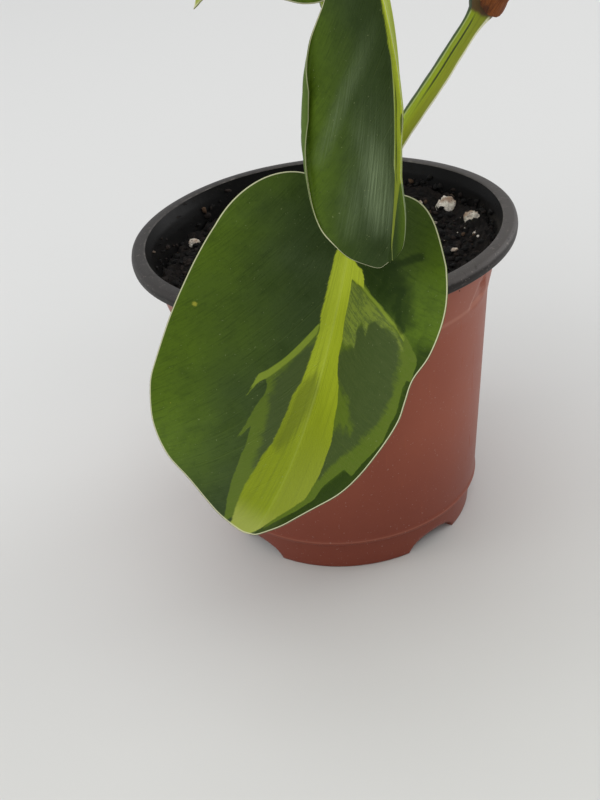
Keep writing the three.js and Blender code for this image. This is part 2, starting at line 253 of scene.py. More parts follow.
# A smooth curve through points, as a count of even steps, and its length
def smoothCurve(points, count, power=0.5):
    points = np.asarray(points, float)
    first = 2 * points[0] - points[1]
    last = 2 * points[-1] - points[-2]
    p = np.vstack([first, points, last])
    dense = []
    for i in range(len(points) - 1):
        before, here, there, after = p[i:i + 4]
        d0, d1, d2 = [np.linalg.norm(p[i + k + 1] - p[i + k]) ** power for k in range(3)]
        start = ((here - before) / d0 - (there - before) / (d0 + d1) + (there - here) / d1) * d1
        end = ((there - here) / d1 - (after - here) / (d1 + d2) + (after - there) / d2) * d1
        t = np.linspace(0, 1, 60, endpoint=i == len(points) - 2)[:, None]
        a = 2 * t ** 3 - 3 * t ** 2 + 1
        b = t ** 3 - 2 * t ** 2 + t
        c = 3 * t ** 2 - 2 * t ** 3
        d = t ** 3 - t ** 2
        dense.append(a * here + b * start + c * there + d * end)
    dense = np.vstack(dense)
    length = np.concatenate([[0], np.cumsum(np.linalg.norm(np.diff(dense, axis=0), axis=1))])
    wanted = np.linspace(0, length[-1], count)
    curve = np.stack([np.interp(wanted, length, values) for values in dense.T], 1)
    return curve, length[-1]


# Two directions across a path at each of its points, which don't twist along it
def framesAlong(path):
    ahead = unit(np.gradient(path, axis=0))
    normal = unit(np.cross(ahead[0], (0.2, 1.0, 0.1)))
    normals = []
    for step in ahead:
        normal = unit(normal - step * np.dot(normal, step))
        normals.append(normal)
    normals = np.array(normals)
    return normals, np.cross(ahead, normals)


def gridFaces(rows, columns):
    faces = []
    for i in range(rows - 1):
        for j in range(columns):
            k = (j + 1) % columns
            row = i * columns
            faces.append((row + j, row + k, row + columns + k, row + columns + j))
    return faces


# A tube of rings, closed at both ends by fans to two added middle points
def tubeFaces(rows, columns):
    faces = gridFaces(rows, columns)
    start = rows * columns
    last = start - columns
    for j in range(columns):
        k = (j + 1) % columns
        faces.append((start, k, j))
        faces.append((start + 1, last + j, last + k))
    return faces


# The points of a tube around a path, with a row of sizes and angles for each point of the path
def tubePoints(path, frames, size, turn):
    normals, binormals = (vectors[:, None, :] for vectors in frames)
    outward = np.cos(turn)[..., None] * normals + np.sin(turn)[..., None] * binormals
    rings = path[:, None, :] + size[..., None] * outward
    return np.vstack([rings.reshape(-1, 3), path[0], path[-1]])


def fullTurn(sides):
    return np.linspace(0, 2 * math.pi, sides, endpoint=False)


# Blender's noise at points that are scaled and shifted first
def noiseAt(points, scale, shift):
    return np.array([noise.noise(Vector(point)) for point in np.asarray(points) * scale + shift])


# Pot

pot = {
    "height": 95,
    "rim": 55.3,
    "lipDrop": 3.7,
    "wall": 1.2,
    "throat": 50.7,
    "crease": (47.1, 77.3),
    "creaseStep": (0.8, 3.6),
    "step": (40.3, 10.8),
    "foot": 37.8,
    "footInner": 27,
    "floor": 8,
    "footCentre": -98,
    "feet": 4,
    "notchReach": 9.2,
    "notchHeight": 4.3,
    "sides": 288,
    "rowHeight": 1.6,
    "drain": (31, 36.4, 8),
    "dentAzimuth": -33,
    "dentReach": 6.5,
    "dentTop": 85,
    "dentDepth": 0.8,
    "dentFoldStart": (-5, 1.3),
    "dentFoldLean": (0.6, 0.8),
    "outOfRound": (0.3, 0.4),
    "nicks": (50.5, 46.5, 42, 36.5, 31),
    "nickWidth": 1.1,
    "nickSize": (0.3, 0.25),
    "bodyColour": (146, 73, 50),
    "lipColour": (76, 72, 70),
    "insideColour": (10, 10, 10),
}


# Rounds the corners of a profile and adds rows to its long walls
def roundedOutline(corners):
    outline, parts = [], []
    for i, (radius, height, size, part) in enumerate(corners):
        here = np.array([radius, height])
        rounded = [here]
        if size > 0:
            before = np.array(corners[i - 1][:2])
            after = np.array(corners[i + 1][:2])
            back = min(size, 0.45 * np.linalg.norm(before - here))
            forth = min(size, 0.45 * np.linalg.norm(after - here))
            start = here + unit(before - here) * back
            end = here + unit(after - here) * forth
            steps = (0, 0.33, 0.67, 1)
            rounded = [(1 - t) ** 2 * start + 2 * t * (1 - t) * here + t * t * end for t in steps]
        if outline:
            wall = rounded[0] - outline[-1]
            rows = int(abs(wall[1]) // pot["rowHeight"])
            for _ in range(rows):
                outline.append(outline[-1] + wall / (rows + 1))
                parts.append(part)
        outline.extend(rounded)
        parts.extend([part] * len(rounded))
    return np.array(outline), parts


def potOutline():
    rim = pot["rim"]
    height = pot["height"]
    throat = pot["throat"]
    skirt = height - pot["lipDrop"]
    floor = pot["floor"]
    foot = pot["foot"]
    creaseRadius, creaseHeight = pot["crease"]
    stepIn, stepDown = pot["creaseStep"]
    stepRadius, stepHeight = pot["step"]
    wall = pot["wall"]
    cavityFloor = floor + wall + 0.4
    return roundedOutline([
        (0, floor, 0, "body"),
        (pot["footInner"], floor, 1.0, "body"),
        (pot["footInner"] + 0.6, 0, 0.8, "body"),
        (foot - 0.2, 0, 0.5, "body"),
        (foot + 0.9, floor, 1.0, "body"),
        (foot + 1.2, stepHeight - 1.0, 0.4, "body"),
        (stepRadius + 0.1, stepHeight - 0.5, 0.35, "body"),
        (stepRadius + 0.32, stepHeight + 0.3, 0.35, "body"),
        (stepRadius + 0.05, stepHeight + 1.3, 0.5, "body"),
        (creaseRadius - stepIn, creaseHeight - stepDown, 1.2, "body"),
        (creaseRadius, creaseHeight, 0.5, "body"),
        (throat, skirt + 0.4, 1.6, "body"),
        (throat + 1.2, height - 1.7, 0.6, "body"),
        (rim - 1.3, height - 2.0, 0.5, "body"),
        (rim - 1.15, skirt, 0.25, "lip"),
        (rim - 0.25, skirt + 0.1, 0.3, "lip"),
        (rim, skirt + 1.6, 0.5, "lip"),
        (rim - 0.3, height - 0.9, 0.3, "lip"),
        (rim - 1.1, height - 0.2, 0.25, "lip"),
        (rim - 2.6, height, 0.8, "lip"),
        (rim - 4.1, height - 0.1, 0.25, "lip"),
        (rim - 4.5, height - 0.9, 0.3, "inside"),
        (throat - wall + 0.1, skirt + 0.6, 0.6, "inside"),
        (throat - wall - 0.7, skirt - 2.0, 0.4, "inside"),
        (creaseRadius - wall, creaseHeight, 0.5, "inside"),
        (creaseRadius - stepIn - wall, creaseHeight - stepDown, 1.0, "inside"),
        (stepRadius - wall, stepHeight + 2.2, 1.0, "inside"),
        (foot - 0.4, cavityFloor, 0.8, "inside"),
        (0, cavityFloor, 0, "inside"),
    ])


def angleGap(angle, azimuth):
    return np.abs((angle - math.radians(azimuth) + math.pi) % (2 * math.pi) - math.pi)


# The azimuths halfway between the feet
def notchAzimuths():
    between = 360 / pot["feet"]
    return [pot["footCentre"] + between * (i + 0.5) for i in range(pot["feet"])]


def makePotMesh(materials):
    outline, parts = potOutline()
    sides = pot["sides"]
    rows = len(outline)
    radius = np.repeat(outline[:, :1], sides, axis=1)
    height = np.repeat(outline[:, 1:], sides, axis=1)
    angle = np.repeat(fullTurn(sides)[None, :], rows, axis=0)
    # an arch between each pair of feet
    rise = np.zeros_like(angle)
    for azimuth in notchAzimuths():
        across = angleGap(angle, azimuth)
        tangent = pot["foot"] * np.minimum(across, math.pi / 2)
        share = np.clip(tangent / pot["notchReach"], 0, 1)
        rise = np.maximum(rise, pot["notchHeight"] * np.sqrt(1 - share ** 2))
    low = (height < pot["floor"]) & (radius > pot["footInner"] * 0.9)
    height = np.where(low, np.maximum(height, rise + height * 0.25), height)
    height = np.where(low, np.minimum(height, pot["floor"] + 0.01), height)
    # a three-cornered dent is pressed into the shoulder at four places
    outside = np.arange(rows)[:, None] < np.argmax(outline[:, 0])
    creaseHeight = pot["crease"][1]
    up = np.clip((height - creaseHeight) / (pot["dentTop"] - creaseHeight), 0, 1)
    rising = softStep(creaseHeight - 1.2, creaseHeight + 0.8, height) * (1 - softStep(0.75, 1.0, up))
    for i in range(pot["feet"]):
        across = np.degrees(angleGap(angle, pot["dentAzimuth"] + 360 / pot["feet"] * i))
        reach = pot["dentReach"] * (1 - up) + 0.6
        side = 1 - softStep(0.6 * reach, reach, across)
        radius = radius - pot["dentDepth"] * rising * side
    lipShare = softStep(pot["height"] - 4, pot["height"] - 1, height)
    wobble = 0.22 * np.sin(2 * angle + 0.6) + 0.16 * np.sin(3 * angle + 2.1) + 0.10 * np.sin(7 * angle)
    radius = radius + pot["outOfRound"][0] * wobble * softStep(20, 90, height)
    height = height + pot["outOfRound"][1] * wobble * softStep(86, 94, height)
    for azimuth in pot["nicks"]:
        across = np.degrees(angleGap(angle, azimuth)) / pot["nickWidth"]
        bump = np.exp(-(across ** 2)) * outside * lipShare
        radius = radius + pot["nickSize"][0] * bump
        height = height + pot["nickSize"][1] * bump
    # the outline starts and ends on the axis, where two middle points take its place
    points = np.stack([radius * np.cos(angle), radius * np.sin(angle), height], -1)[1:-1].reshape(-1, 3)
    points = np.vstack([points, [0, 0, outline[0, 1]], [0, 0, outline[-1, 1]]])
    slots = {"body": 0, "lip": 1, "inside": 2}
    faceMaterials = np.repeat([slots[part] for part in parts[2:-1]], sides).tolist()
    faceMaterials.extend([slots["body"], slots["inside"]] * sides)
    faces = tubeFaces(rows - 2, sides)
    return makePiece("nursery_pot", points, faces, materials, ["pot"], None, faceMaterials)


# A curved block in the shape of one drain slot
def drainCutter(centre):
    inner, outer, span = pot["drain"]
    steps = 6
    points = []
    for height in (-1, pot["floor"] + pot["wall"] + 1.4):
        for radius in (inner, outer):
            for j in range(steps + 1):
                angle = math.radians(centre - span / 2 + span * j / steps)
                points.append((radius * math.cos(angle), radius * math.sin(angle), height))
    row = steps + 1
    faces = []
    for j in range(steps):
        faces.append((j, j + 1, row + j + 1, row + j))
        faces.append((2 * row + j, 3 * row + j, 3 * row + j + 1, 2 * row + j + 1))
        faces.append((j, 2 * row + j, 2 * row + j + 1, j + 1))
        faces.append((row + j, row + j + 1, 3 * row + j + 1, 3 * row + j))
    faces.append((0, row, 3 * row, 2 * row))
    faces.append((steps, 2 * row + steps, 3 * row + steps, row + steps))
    mesh = bpy.data.meshes.new("drain")
    mesh.from_pydata((np.array(points) * mm).tolist(), [], faces)
    cutter = bpy.data.objects.new("drain", mesh)
    bpy.context.scene.collection.objects.link(cutter)
    return cutter


def cutDrains(piece):
    cutters = [drainCutter(centre) for centre in notchAzimuths()]
    for cutter in cutters:
        modifier = piece.modifiers.new("drain", "BOOLEAN")
        modifier.operation = "DIFFERENCE"
        modifier.solver = "EXACT"
        modifier.object = cutter
    applyModifiers(piece)
    for cutter in cutters:
        bpy.data.objects.remove(cutter)


def applyModifiers(piece):
    graph = bpy.context.evaluated_depsgraph_get()
    solid = bpy.data.meshes.new_from_object(piece.evaluated_get(graph))
    piece.modifiers.clear()
    piece.data = solid


# The distances across and along the fold at a dent's left side, as drawn on the flat wall, where a highlight
# is painted
def dentLine(shader):
    place = shader.place()
    x = shader.coordinate(place, 0)
    y = shader.coordinate(place, 1)
    angle = shader.maths("ARCTAN2", y, x) - math.radians(pot["dentAzimuth"])
    turn = shader.maths("WRAP", angle, math.pi / pot["feet"], -math.pi / pot["feet"])
    startAround, startAbove = pot["dentFoldStart"]
    leanAround, leanAbove = pot["dentFoldLean"]
    around = turn * (pot["crease"][0] + 1) * mm - startAround * mm
    above = shader.height() - (pot["crease"][1] + startAbove) * mm
    across = around * leanAbove - above * leanAround
    return across, around * leanAround + above * leanAbove


def potBodyMaterial():
    shader = Shader("red brown plastic", Roughness=0.4, Specular_IOR_Level=0.35)
    place = shader.place()
    broad = shader.noise(place, 18, 2)
    haze = shader.noise(place, 160, 4, 0.7)
    drawn = shader.stretched(place, (900, 900, 45))
    scratch = shader.step(shader.noise(drawn, 1.0, 2), 0.66, 0.74)
    dust = shader.step(shader.noise(place, 1400, 1), 0.70, 0.76)
    red, green, blue = pot["bodyColour"]
    darker = tone(red - 10, green - 9, blue - 7)
    base = shader.mix(shader.step(broad, 0.3, 0.7), tone(red, green, blue), darker)
    # painted shade: the body darkens towards the foot
    low = shader.fade(shader.height(), 0.004, 0.05)
    base = shader.mix(low * 0.9, base, tone(red - 34, green - 26, blue - 20))
    base = shader.mix(haze * 0.12 + scratch * 0.10, base, tone(red + 35, green + 32, blue + 28))
    base = shader.mix(dust * 0.2, base, tone(190, 178, 168))
    # painted highlights along the crease, the step and one fold of each dent
    across, along = dentLine(shader)
    fold = shader.fade(shader.absolute(across), 0.0002, 0.0009) * shader.step(along, -0.001, 0.0005)
    fold = fold * shader.fade(along, 0.005, 0.008)
    aboveCrease = shader.height() - pot["crease"][1] * mm
    aboveBead = shader.height() - (pot["step"][1] + 0.4) * mm
    crease = shader.fade(shader.absolute(aboveCrease), 0.0002, 0.0011)
    beadHighlight = shader.fade(shader.absolute(aboveBead), 0.0001, 0.0004)
    paintedHighlight = fold * 0.45 + crease * (0.2 + shader.step(broad, 0.4, 0.6) * 0.35) + beadHighlight * 0.14
    base = shader.mix(paintedHighlight, base, tone(red + 58, green + 70, blue + 68))
    rough = 0.36 + haze * 0.14 + scratch * 0.15
    relief = haze * 0.3 + scratch * 0.5
    return shader.wear(base, rough, shader.bump(relief, 0.15, 0.0002))


def potLipMaterial():
    shader = Shader("dark lip plastic", Roughness=0.45, Specular_IOR_Level=0.25)
    place = shader.place()
    haze = shader.noise(place, 240, 4, 0.7)
    around = shader.stretched(place, (260, 260, 1200))
    scuff = shader.step(shader.noise(around, 1.0, 3, 0.7), 0.58, 0.72)
    dust = shader.step(shader.noise(place, 1100, 2, 0.6), 0.63, 0.72)
    soilDust = shader.step(shader.noise(place, 500, 2, 0.6), 0.62, 0.7)
    red, green, blue = pot["lipColour"]
    base = shader.mix(haze, tone(red - 8, green - 8, blue - 8), tone(red + 8, green + 7, blue + 7))
    skirt = shader.fade(shader.height() + (haze - 0.5) * 0.001, 0.0932, 0.0941)
    base = shader.mix(skirt * 0.9, base, tone(red - 60, green - 64, blue - 64))
    # painted shade darkens the left side of the lip
    left = shader.fade(shader.coordinate(place, 0), -0.045, 0.035)
    base = shader.mix(left * 0.6, base, tone(28, 27, 26))
    base = shader.mix(scuff * 0.35, base, tone(112, 106, 104))
    base = shader.mix(dust * 0.3, base, tone(150, 140, 132))
    base = shader.mix(soilDust * 0.4, base, tone(30, 24, 20))
    # painted highlight along the sharp inner edge, broken up by scuffs and haze
    flat = shader.node("ShaderNodeVectorMath", {"operation": "MULTIPLY"}, {0: place, 1: (1, 1, 0)})
    radius = shader.node("ShaderNodeVectorMath", {"operation": "LENGTH"}, {0: flat}, 1)
    inner = shader.fade(radius, 0.0512, 0.0517) * shader.step(scuff + haze, 0.3, 0.9)
    base = shader.mix(inner * 0.5, base, tone(132, 126, 122))
    rough = 0.38 + haze * 0.2 + scuff * 0.15
    return shader.wear(base, rough, shader.bump(haze + scuff * 0.6, 0.2, 0.0003))


def potInsideMaterial():
    shader = Shader("black inside", Roughness=0.3, Specular_IOR_Level=0.1)
    place = shader.place()
    haze = shader.noise(place, 300, 4, 0.7)
    dust = shader.step(shader.noise(place, 700, 3, 0.6), 0.6, 0.72)
    red, green, blue = pot["insideColour"]
    base = shader.mix(haze, tone(red - 4, green - 4, blue - 4), tone(red + 5, green + 4, blue + 4))
    base = shader.mix(dust * 0.4, base, tone(46, 38, 34))
    return shader.wear(base, 0.3 + haze * 0.2 + dust * 0.3, shader.bump(haze + dust, 0.2, 0.0003))


# Soil, crumbs and perlite

soil = {
    "height": 86,
    "underside": 10.2,
    "dip": 2.6,
    "bump": 1.5,
    "grain": ((0.9, 0.55, 3), (0.5, 1.3, 9)),
    "edgeRise": 1.2,
    "rightRise": 1.6,
    "side": (44.0896, 70),
    "rings": 90,
    "sides": 220,
    "crumbs": 4200,
    "crumbSize": (0.18, 1.35),
    "wallCrumbs": 900,
    "thickWall": {"azimuths": (-50, 95), "reach": 4.5},
    "thinWall": {"azimuths": (95, 310), "reach": 7.5},
    "wallCrumbTop": 93.5,
    "seed": 11,
}
perlite = {
    "lumps": [
        {"place": (39.0, 20.5), "size": (3.1, 2.8, 3.6)},
        {"place": (44.7, 9.0), "size": (2.5, 2.1, 2.4)},
        {"place": (-38.6, 21.8), "size": (1.7, 1.4, 1.4)},
        {"place": (-19, 36), "size": (2.3, 1.9, 1.8)},
        {"place": (24, -36), "size": (2.0, 2.3, 1.7)},
    ],
    "crumbs": 70,
    "crumbSize": (0.2, 0.75),
    "seed": 5,
}


def soilTop(x, y):
    tilt = soil["dip"] * np.maximum(0, -x / pot["throat"])
    return soil["height"] - tilt + soil["bump"] * unevenness(x, y)


def soilRadius():
    return pot["crease"][0] + 0.6


# The pot's inner radius at a height above the crease
def wallRadius(height):
    crease, throat = pot["crease"][0] - pot["wall"], pot["throat"] - pot["wall"]
    return np.interp(height, [pot["crease"][1], 89.3, 91.8], [crease, throat - 0.7, throat])


def grain(x, y):
    flat = np.stack([x, y, 0 * x], 1)
    return sum(size * noiseAt(flat, scale, (0, 0, shift)) for size, scale, shift in soil["grain"])


def makeSoil(material):
    rings, sides = soil["rings"], soil["sides"]
    reach = soilRadius()
    angle = np.tile(fullTurn(sides), rings)
    share = np.repeat(np.arange(1, rings + 1) / rings, sides)
    x = reach * share * np.cos(angle)
    y = reach * share * np.sin(angle)
    z = soilTop(x, y) + grain(x, y)
    z = z + soil["edgeRise"] * softStep(0.93, 1.0, share) * (0.5 + unevenness(3 * x, 3 * y))
    z = z + soil["rightRise"] * softStep(0.86, 1.0, share) * (0.5 + 0.5 * np.cos(angle - 0.3))
    # the side goes down inside the pot's wall to the underside
    underside = soil["underside"]
    low = (pot["step"][0] - 2, pot["step"][1] + 3)
    side = [soil["side"], low, (pot["foot"] - 2.5, underside)]
    points = [[(0, 0, soilTop(0, 0))], np.stack([x, y, z], 1)]
    turn = fullTurn(sides)
    for radius, height in side:
        points.append(np.stack([radius * np.cos(turn), radius * np.sin(turn), np.full(sides, height)], 1))
    points = np.vstack([*points, [(0, 0, underside)]])
    rows = rings + len(side)
    faces = [tuple(v + 1 for v in face) for face in gridFaces(rows, sides)]
    last = 1 + rows * sides
    for j in range(sides):
        k = (j + 1) % sides
        faces.append((0, 1 + j, 1 + k))
        faces.append((last, last - sides + k, last - sides + j))
    return makePiece("potting_soil", points, faces, [material], ["soil"])


def lumpShape(subdivisions):
    made = bmesh.new()
    bmesh.ops.create_icosphere(made, subdivisions=subdivisions, radius=1)
    points = np.array([v.co[:] for v in made.verts])
    faces = [tuple(v.index for v in f.verts) for f in made.faces]
    made.free()
    return points, faces


def soilSpots(count, draw):
    spots = []
    for _ in range(count):
        angle = draw.uniform(0, 2 * math.pi)
        away = (soilRadius() - 0.5) * math.sqrt(draw.random())
        x, y = away * math.cos(angle), away * math.sin(angle)
        spots.append((x, y, soilTop(x, y)))
    return spots


# Places of the crumbs that stick to the wall above the soil, most of them on the right
def wallSpots(count, draw):
    spots = []
    for i in range(count):
        area = soil["thickWall"] if i % 4 > 0 else soil["thinWall"]
        angle = math.radians(draw.uniform(*area["azimuths"]))
        reach = soilRadius()
        ground = soilTop(reach * math.cos(angle), reach * math.sin(angle))
        height = ground + area["reach"] * draw.random() ** 2
        away = wallRadius(height) - 0.1
        spots.append((away * math.cos(angle), away * math.sin(angle), min(height, soil["wallCrumbTop"])))
    return spots


# One small lump on each spot, raised by a share of its size and flattened
def scatterLumps(spots, sizes, draw, raised, flatness, subdivisions=2, jag=0.28):
    shape, shapeFaces = lumpShape(subdivisions)
    points, faces, tints = [], [], []
    low, high = sizes
    for x, y, z in spots:
        size = low + (high - low) * draw.random() ** 2.6
        stretch = np.array([draw.uniform(0.8, 1.5), draw.uniform(0.6, 1.1), draw.uniform(*flatness)])
        axis = Vector((draw.uniform(-0.6, 0.6), draw.uniform(-0.6, 0.6), 1))
        turn = np.array(Matrix.Rotation(draw.uniform(0, 6.28), 3, axis))
        rough = noiseAt(shape, 1.7, (draw.uniform(0, 50), 0, 0))
        lump = (shape * (1 + jag * rough)[:, None] * stretch * size) @ turn.T
        base = len(points) * len(shape)
        points.append(lump + np.array([x, y, z + size * raised]))
        faces.extend(tuple(v + base for v in face) for face in shapeFaces)
        tints.extend([draw.random()] * len(shape))
    return np.vstack(points), faces, tints


def makeCrumbs(material):
    draw = random.Random(soil["seed"])
    spots = soilSpots(soil["crumbs"], draw) + wallSpots(soil["wallCrumbs"], draw)
    points, faces, tints = scatterLumps(spots, soil["crumbSize"], draw, 0.3, (0.45, 0.9), 1, 0.7)
    makePiece("soil_crumbs", points, faces, [material], [], {"tint": tints})


def makePerlite(material):
    shape, shapeFaces = lumpShape(4)
    for number, lump in enumerate(perlite["lumps"], 1):
        x, y = lump["place"]
        lumpy = 1 + 0.16 * unevenness(7 * shape[:, 0] + x, 7 * shape[:, 1] + y, 7 * shape[:, 2])
        lumpy = lumpy + 0.2 * noiseAt(shape, 3.1, (x, y, 0)) + 0.14 * noiseAt(shape, 8.0, (y, x, 0))
        points = shape * lumpy[:, None] * lump["size"] + (x, y, soilTop(x, y) + 0.5)
        name = f"perlite_lump_{number}"
        makePiece(name, points, shapeFaces, [material], [f"perlite_{number}"])
    draw = random.Random(perlite["seed"])
    spots = soilSpots(perlite["crumbs"], draw)
    points, faces, _ = scatterLumps(spots, perlite["crumbSize"], draw, 0.9, (0.6, 1.0), 2)
    makePiece("perlite_crumbs", points, faces, [material], [])


def soilMaterial():
    shader = Shader("potting soil", Roughness=0.95, Specular_IOR_Level=0.25)
    place = shader.place()
    coarse = shader.noise(place, 420, 4, 0.7)
    fine = shader.noise(place, 1700, 4, 0.75)
    base = shader.mix(shader.step(coarse, 0.35, 0.7), tone(10, 8, 8), tone(34, 27, 24))
    fleck = shader.step(fine, 0.62, 0.72)
    base = shader.mix(fleck * 0.4, base, tone(70, 56, 46))
    return shader.wear(base, 0.8 + fine * 0.2, shader.bump(coarse + fine * 0.5, 0.8, 0.0012))


def crumbMaterial():
    shader = Shader("soil crumbs", Roughness=0.9, Specular_IOR_Level=0.3)
    place = shader.place()
    tint = shader.attribute("tint")
    fine = shader.noise(place, 1500, 4, 0.75)
    base = shader.mix(shader.step(tint, 0.5, 0.95), tone(12, 10, 10), tone(40, 31, 27))
    base = shader.mix(shader.step(tint, 0.95, 0.98) * 0.6, base, tone(96, 72, 52))
    base = shader.mix(shader.step(tint, 0.985, 0.99) * 0.8, base, tone(176, 164, 150))
    base = shader.mix(shader.step(fine, 0.55, 0.75) * 0.3, base, tone(58, 48, 42))
    return shader.wear(base, 0.72 + fine * 0.25, shader.bump(fine, 0.7, 0.0006))


def perliteMaterial():
    shader = Shader("perlite", Roughness=0.9, Specular_IOR_Level=0.3)
    place = shader.place()
    pits = shader.cells(place, 1300)
    stain = shader.noise(place, 260, 3)
    base = shader.mix(shader.step(stain, 0.42, 0.68), tone(236, 228, 216), tone(176, 150, 130))
    base = shader.mix(shader.fade(pits, 0.05, 0.4) * 0.65, base, tone(96, 78, 66))
    return shader.wear(base, None, shader.bump(pits, 0.6, 0.0006))


# Vines and leaf stalks

rod = {
    "sides": 28,
    "vineRows": 150,
    "stalkRows": 70,
    "vineGroove": 0.12,
    "stalkGroove": 0.16,
    "stalkRadius": 1.5,
    "nodeSwelling": 1.0,
    "nodeSpread": 3.0,
    "scarDepth": 0.35,
    "scarAbove": 1.8,
}
vines = [
    {
        "name": "vine_stem_1",
        "path": [
            (3, 0, 62), (5.0, -2, 90), (21.7, -4, 117.3), (38.1, -1, 137.3), (50.1, 3, 153.5),
            (56.5, 6, 178), (55, 9, 206),
        ],
        "radius": (2.5, 2.75, 1.7),
        "nodes": (95, 151.5, 187),
        "grooveFaces": (-0.35, -0.9, 0.27),
        "grooveSpan": (124, 149),
        "dry": (146, 150, 156, 162),
        "knobs": [
            ((144, 151, 152, 157), 1.3, (0.85, -0.3, -0.42)),
            ((149.2, 150, 150.3, 151.2), 0.8, (-0.9, -0.2, 0.2)),
        ],
    },
    {
        "name": "vine_stem_2",
        "path": [(9, 8, 62), (8, 6, 92), (9.5, 6, 130), (8.4, 9, 160), (5, 12, 184), (1, 14, 201)],
        "radius": (2.4, 2.2, 1.6),
        "nodes": (127, 155, 169, 194),
        "grooveFaces": (-0.5, -0.8, 0.1),
        "grooveSpan": (100, 190),
        "knobs": [],
    },
]


# A share that comes up between two values and goes down again between two more
def window(value, start, full, fade, end):
    return softStep(start, full, value) * (1 - softStep(fade, end, value))


# The angle around each ring at which it faces a direction
def angleFacing(frames, direction):
    normals, binormals = frames
    return np.arctan2(binormals @ np.array(direction), normals @ np.array(direction))[:, None]


# A stem along a path. Its bands are shares of each ring: the groove's depth, scars and dryness.
# Knobs are lumps on one side of it: the heights they come and go at, their size and the way they face.
def makeRod(name, node, material, path, length, radii, groove, bands, knobs=()):
    depth, grooveFaces = groove
    sides = rod["sides"]
    frames = framesAlong(path)
    turn = fullTurn(sides)[None, :]
    along = np.linspace(0, length, len(path))
    fromGroove = turn - angleFacing(frames, grooveFaces)
    near = np.cos(fromGroove)
    dip = 1 - depth * softStep(0.95, 1.0, near) * (0.3 + 0.7 * bands["cut"][:, None])
    rough = 1 + 0.012 * np.sin(0.9 * along[:, None] + 3 * turn)
    size = radii[:, None] * dip * rough
    for heights, height, faces in knobs:
        facing = np.clip(np.cos(turn - angleFacing(frames, faces)), 0, 1) ** 2
        size = size + height * facing * window(path[:, 2], *heights)[:, None]
    attributes = {
        "groove": np.append(near, (0, 0)),
        "side": np.append(np.sin(fromGroove), (0, 0)),
        "along": np.append(np.repeat(along, sides), (0, length)),
    }
    for label, values in bands.items():
        attributes[label] = np.append(np.repeat(values, sides), (0, 0))
    points = tubePoints(path, frames, size, turn)
    faces = tubeFaces(len(path), sides)
    makePiece(name, points, faces, [material], [node], attributes)


def makeVine(vine, material):
    count = rod["vineRows"]
    path, length = smoothCurve(vine["path"], count)
    radii = np.interp(np.linspace(0, 1, count), [0, 0.5, 1], vine["radius"])
    scar = np.zeros(count)
    for height in vine["nodes"]:
        gap = path[:, 2] - height
        above = gap - rod["scarAbove"]
        radii = radii + rod["nodeSwelling"] * np.exp(-((gap / rod["nodeSpread"]) ** 2))
        radii = radii - rod["scarDepth"] * np.exp(-((above / 0.5) ** 2))
        scar = scar + np.exp(-((above / 0.9) ** 2))
    low, high = vine["grooveSpan"]
    bands = {
        "cut": window(path[:, 2], low, low + 10, high - 4, high),
        "scar": scar,
        "dry": window(path[:, 2], *vine["dry"]) if "dry" in vine else np.zeros(count),
    }
    groove = (rod["vineGroove"], vine["grooveFaces"])
    name = vine["name"]
    makeRod(name + "_skin", name, material, path, length, radii, groove, bands, vine["knobs"])


# A leaf stalk, which ends under the blade's joint
def makePetiole(leaf, blade, material):
    below = blade.leaf["thickness"] + rod["stalkRadius"] + 0.1
    joint = blade.point(np.array([-5.0, 2.5]), np.zeros(2), np.array([-1.2, 0.5]) - below)
    count = rod["stalkRows"]
    path, length = smoothCurve([*leaf["petiole"], *joint], count)
    share = np.linspace(0, 1, count)
    # thickest at the vine, even along the middle and a little swollen under the blade
    radii = 1.45 - 0.55 * np.minimum(1, 3 * share) + 0.12 * np.maximum(0, 8 * share - 7)
    radii = rod["stalkRadius"] * radii * (1 - 0.75 * softStep(0.965, 1.0, share))
    bands = {"cut": np.ones(count), "scar": np.zeros(count), "dry": np.zeros(count)}
    groove = (rod["stalkGroove"], (0.1, 0.15, 1.0))
    name = leaf["name"]
    makeRod(name + "_stalk", "petiole_" + name, material, path, length, radii, groove, bands)


def stemMaterial():
    shader = Shader("green stem", Roughness=0.42, Specular_IOR_Level=0.35)
    place = shader.place()
    groove = shader.attribute("groove")
    side = shader.attribute("side")
    along = shader.attribute("along")
    cut = shader.attribute("cut")
    streaks = shader.noise(shader.vector(side * 9, groove * 9, along * 0.06), 1.0, 3)
    fine = shader.noise(place, 700, 3, 0.7)
    base = shader.mix(shader.step(side, -0.3, 0.5), tone(162, 182, 28), tone(150, 160, 22))
    darker = 0.35 * shader.step(streaks, 0.45, 0.75) + 0.25 * shader.step(shader.height(), 0.13, 0.148)
    base = shader.mix(darker, base, tone(104, 116, 18))
    dry = shader.attribute("dry")
    patchy = shader.step(dry + shader.noise(place, 260, 3) - 0.5, 0.35, 0.75)
    base = shader.mix(patchy * 0.9, base, tone(84, 46, 34))
    # painted shade makes one flank grey-green behind a pale line, and a painted highlight runs along the
    # other flank's edge
    fresh = 1 - patchy
    shadedFlank = shader.fade(side + (streaks - 0.5) * 0.08, -0.68, -0.6)
    line = shader.fade(side, -0.54, -0.44) * shader.step(side, -0.68, -0.6) * fresh
    base = shader.mix(line * 0.65, base, tone(182, 196, 130))
    base = shader.mix(shadedFlank * 0.9, base, tone(56, 80, 50))
    # painted highlight along the far edge
    base = shader.mix(shader.step(side, 0.89, 0.95) * 0.9 * fresh, base, tone(246, 244, 206))
    # painted shade along the bottom of the groove
    gap = shader.absolute(side + (fine - 0.5) * 0.03)
    paintedShade = shader.fade(gap, 0.06, 0.13) * shader.step(groove, 0.3, 0.6) * cut * fresh
    base = shader.mix(paintedShade * 0.9, base, tone(34, 46, 6))
    base = shader.mix(shader.step(fine, 0.62, 0.75) * 0.2, base, tone(88, 84, 34))
    scar = shader.attribute("scar")
    base = shader.mix(scar * 0.5, base, tone(104, 92, 48))
    return shader.wear(base, 0.36 + fine * 0.2, shader.bump(streaks + fine * 0.4, 0.25, 0.0003))


# Leaf blades

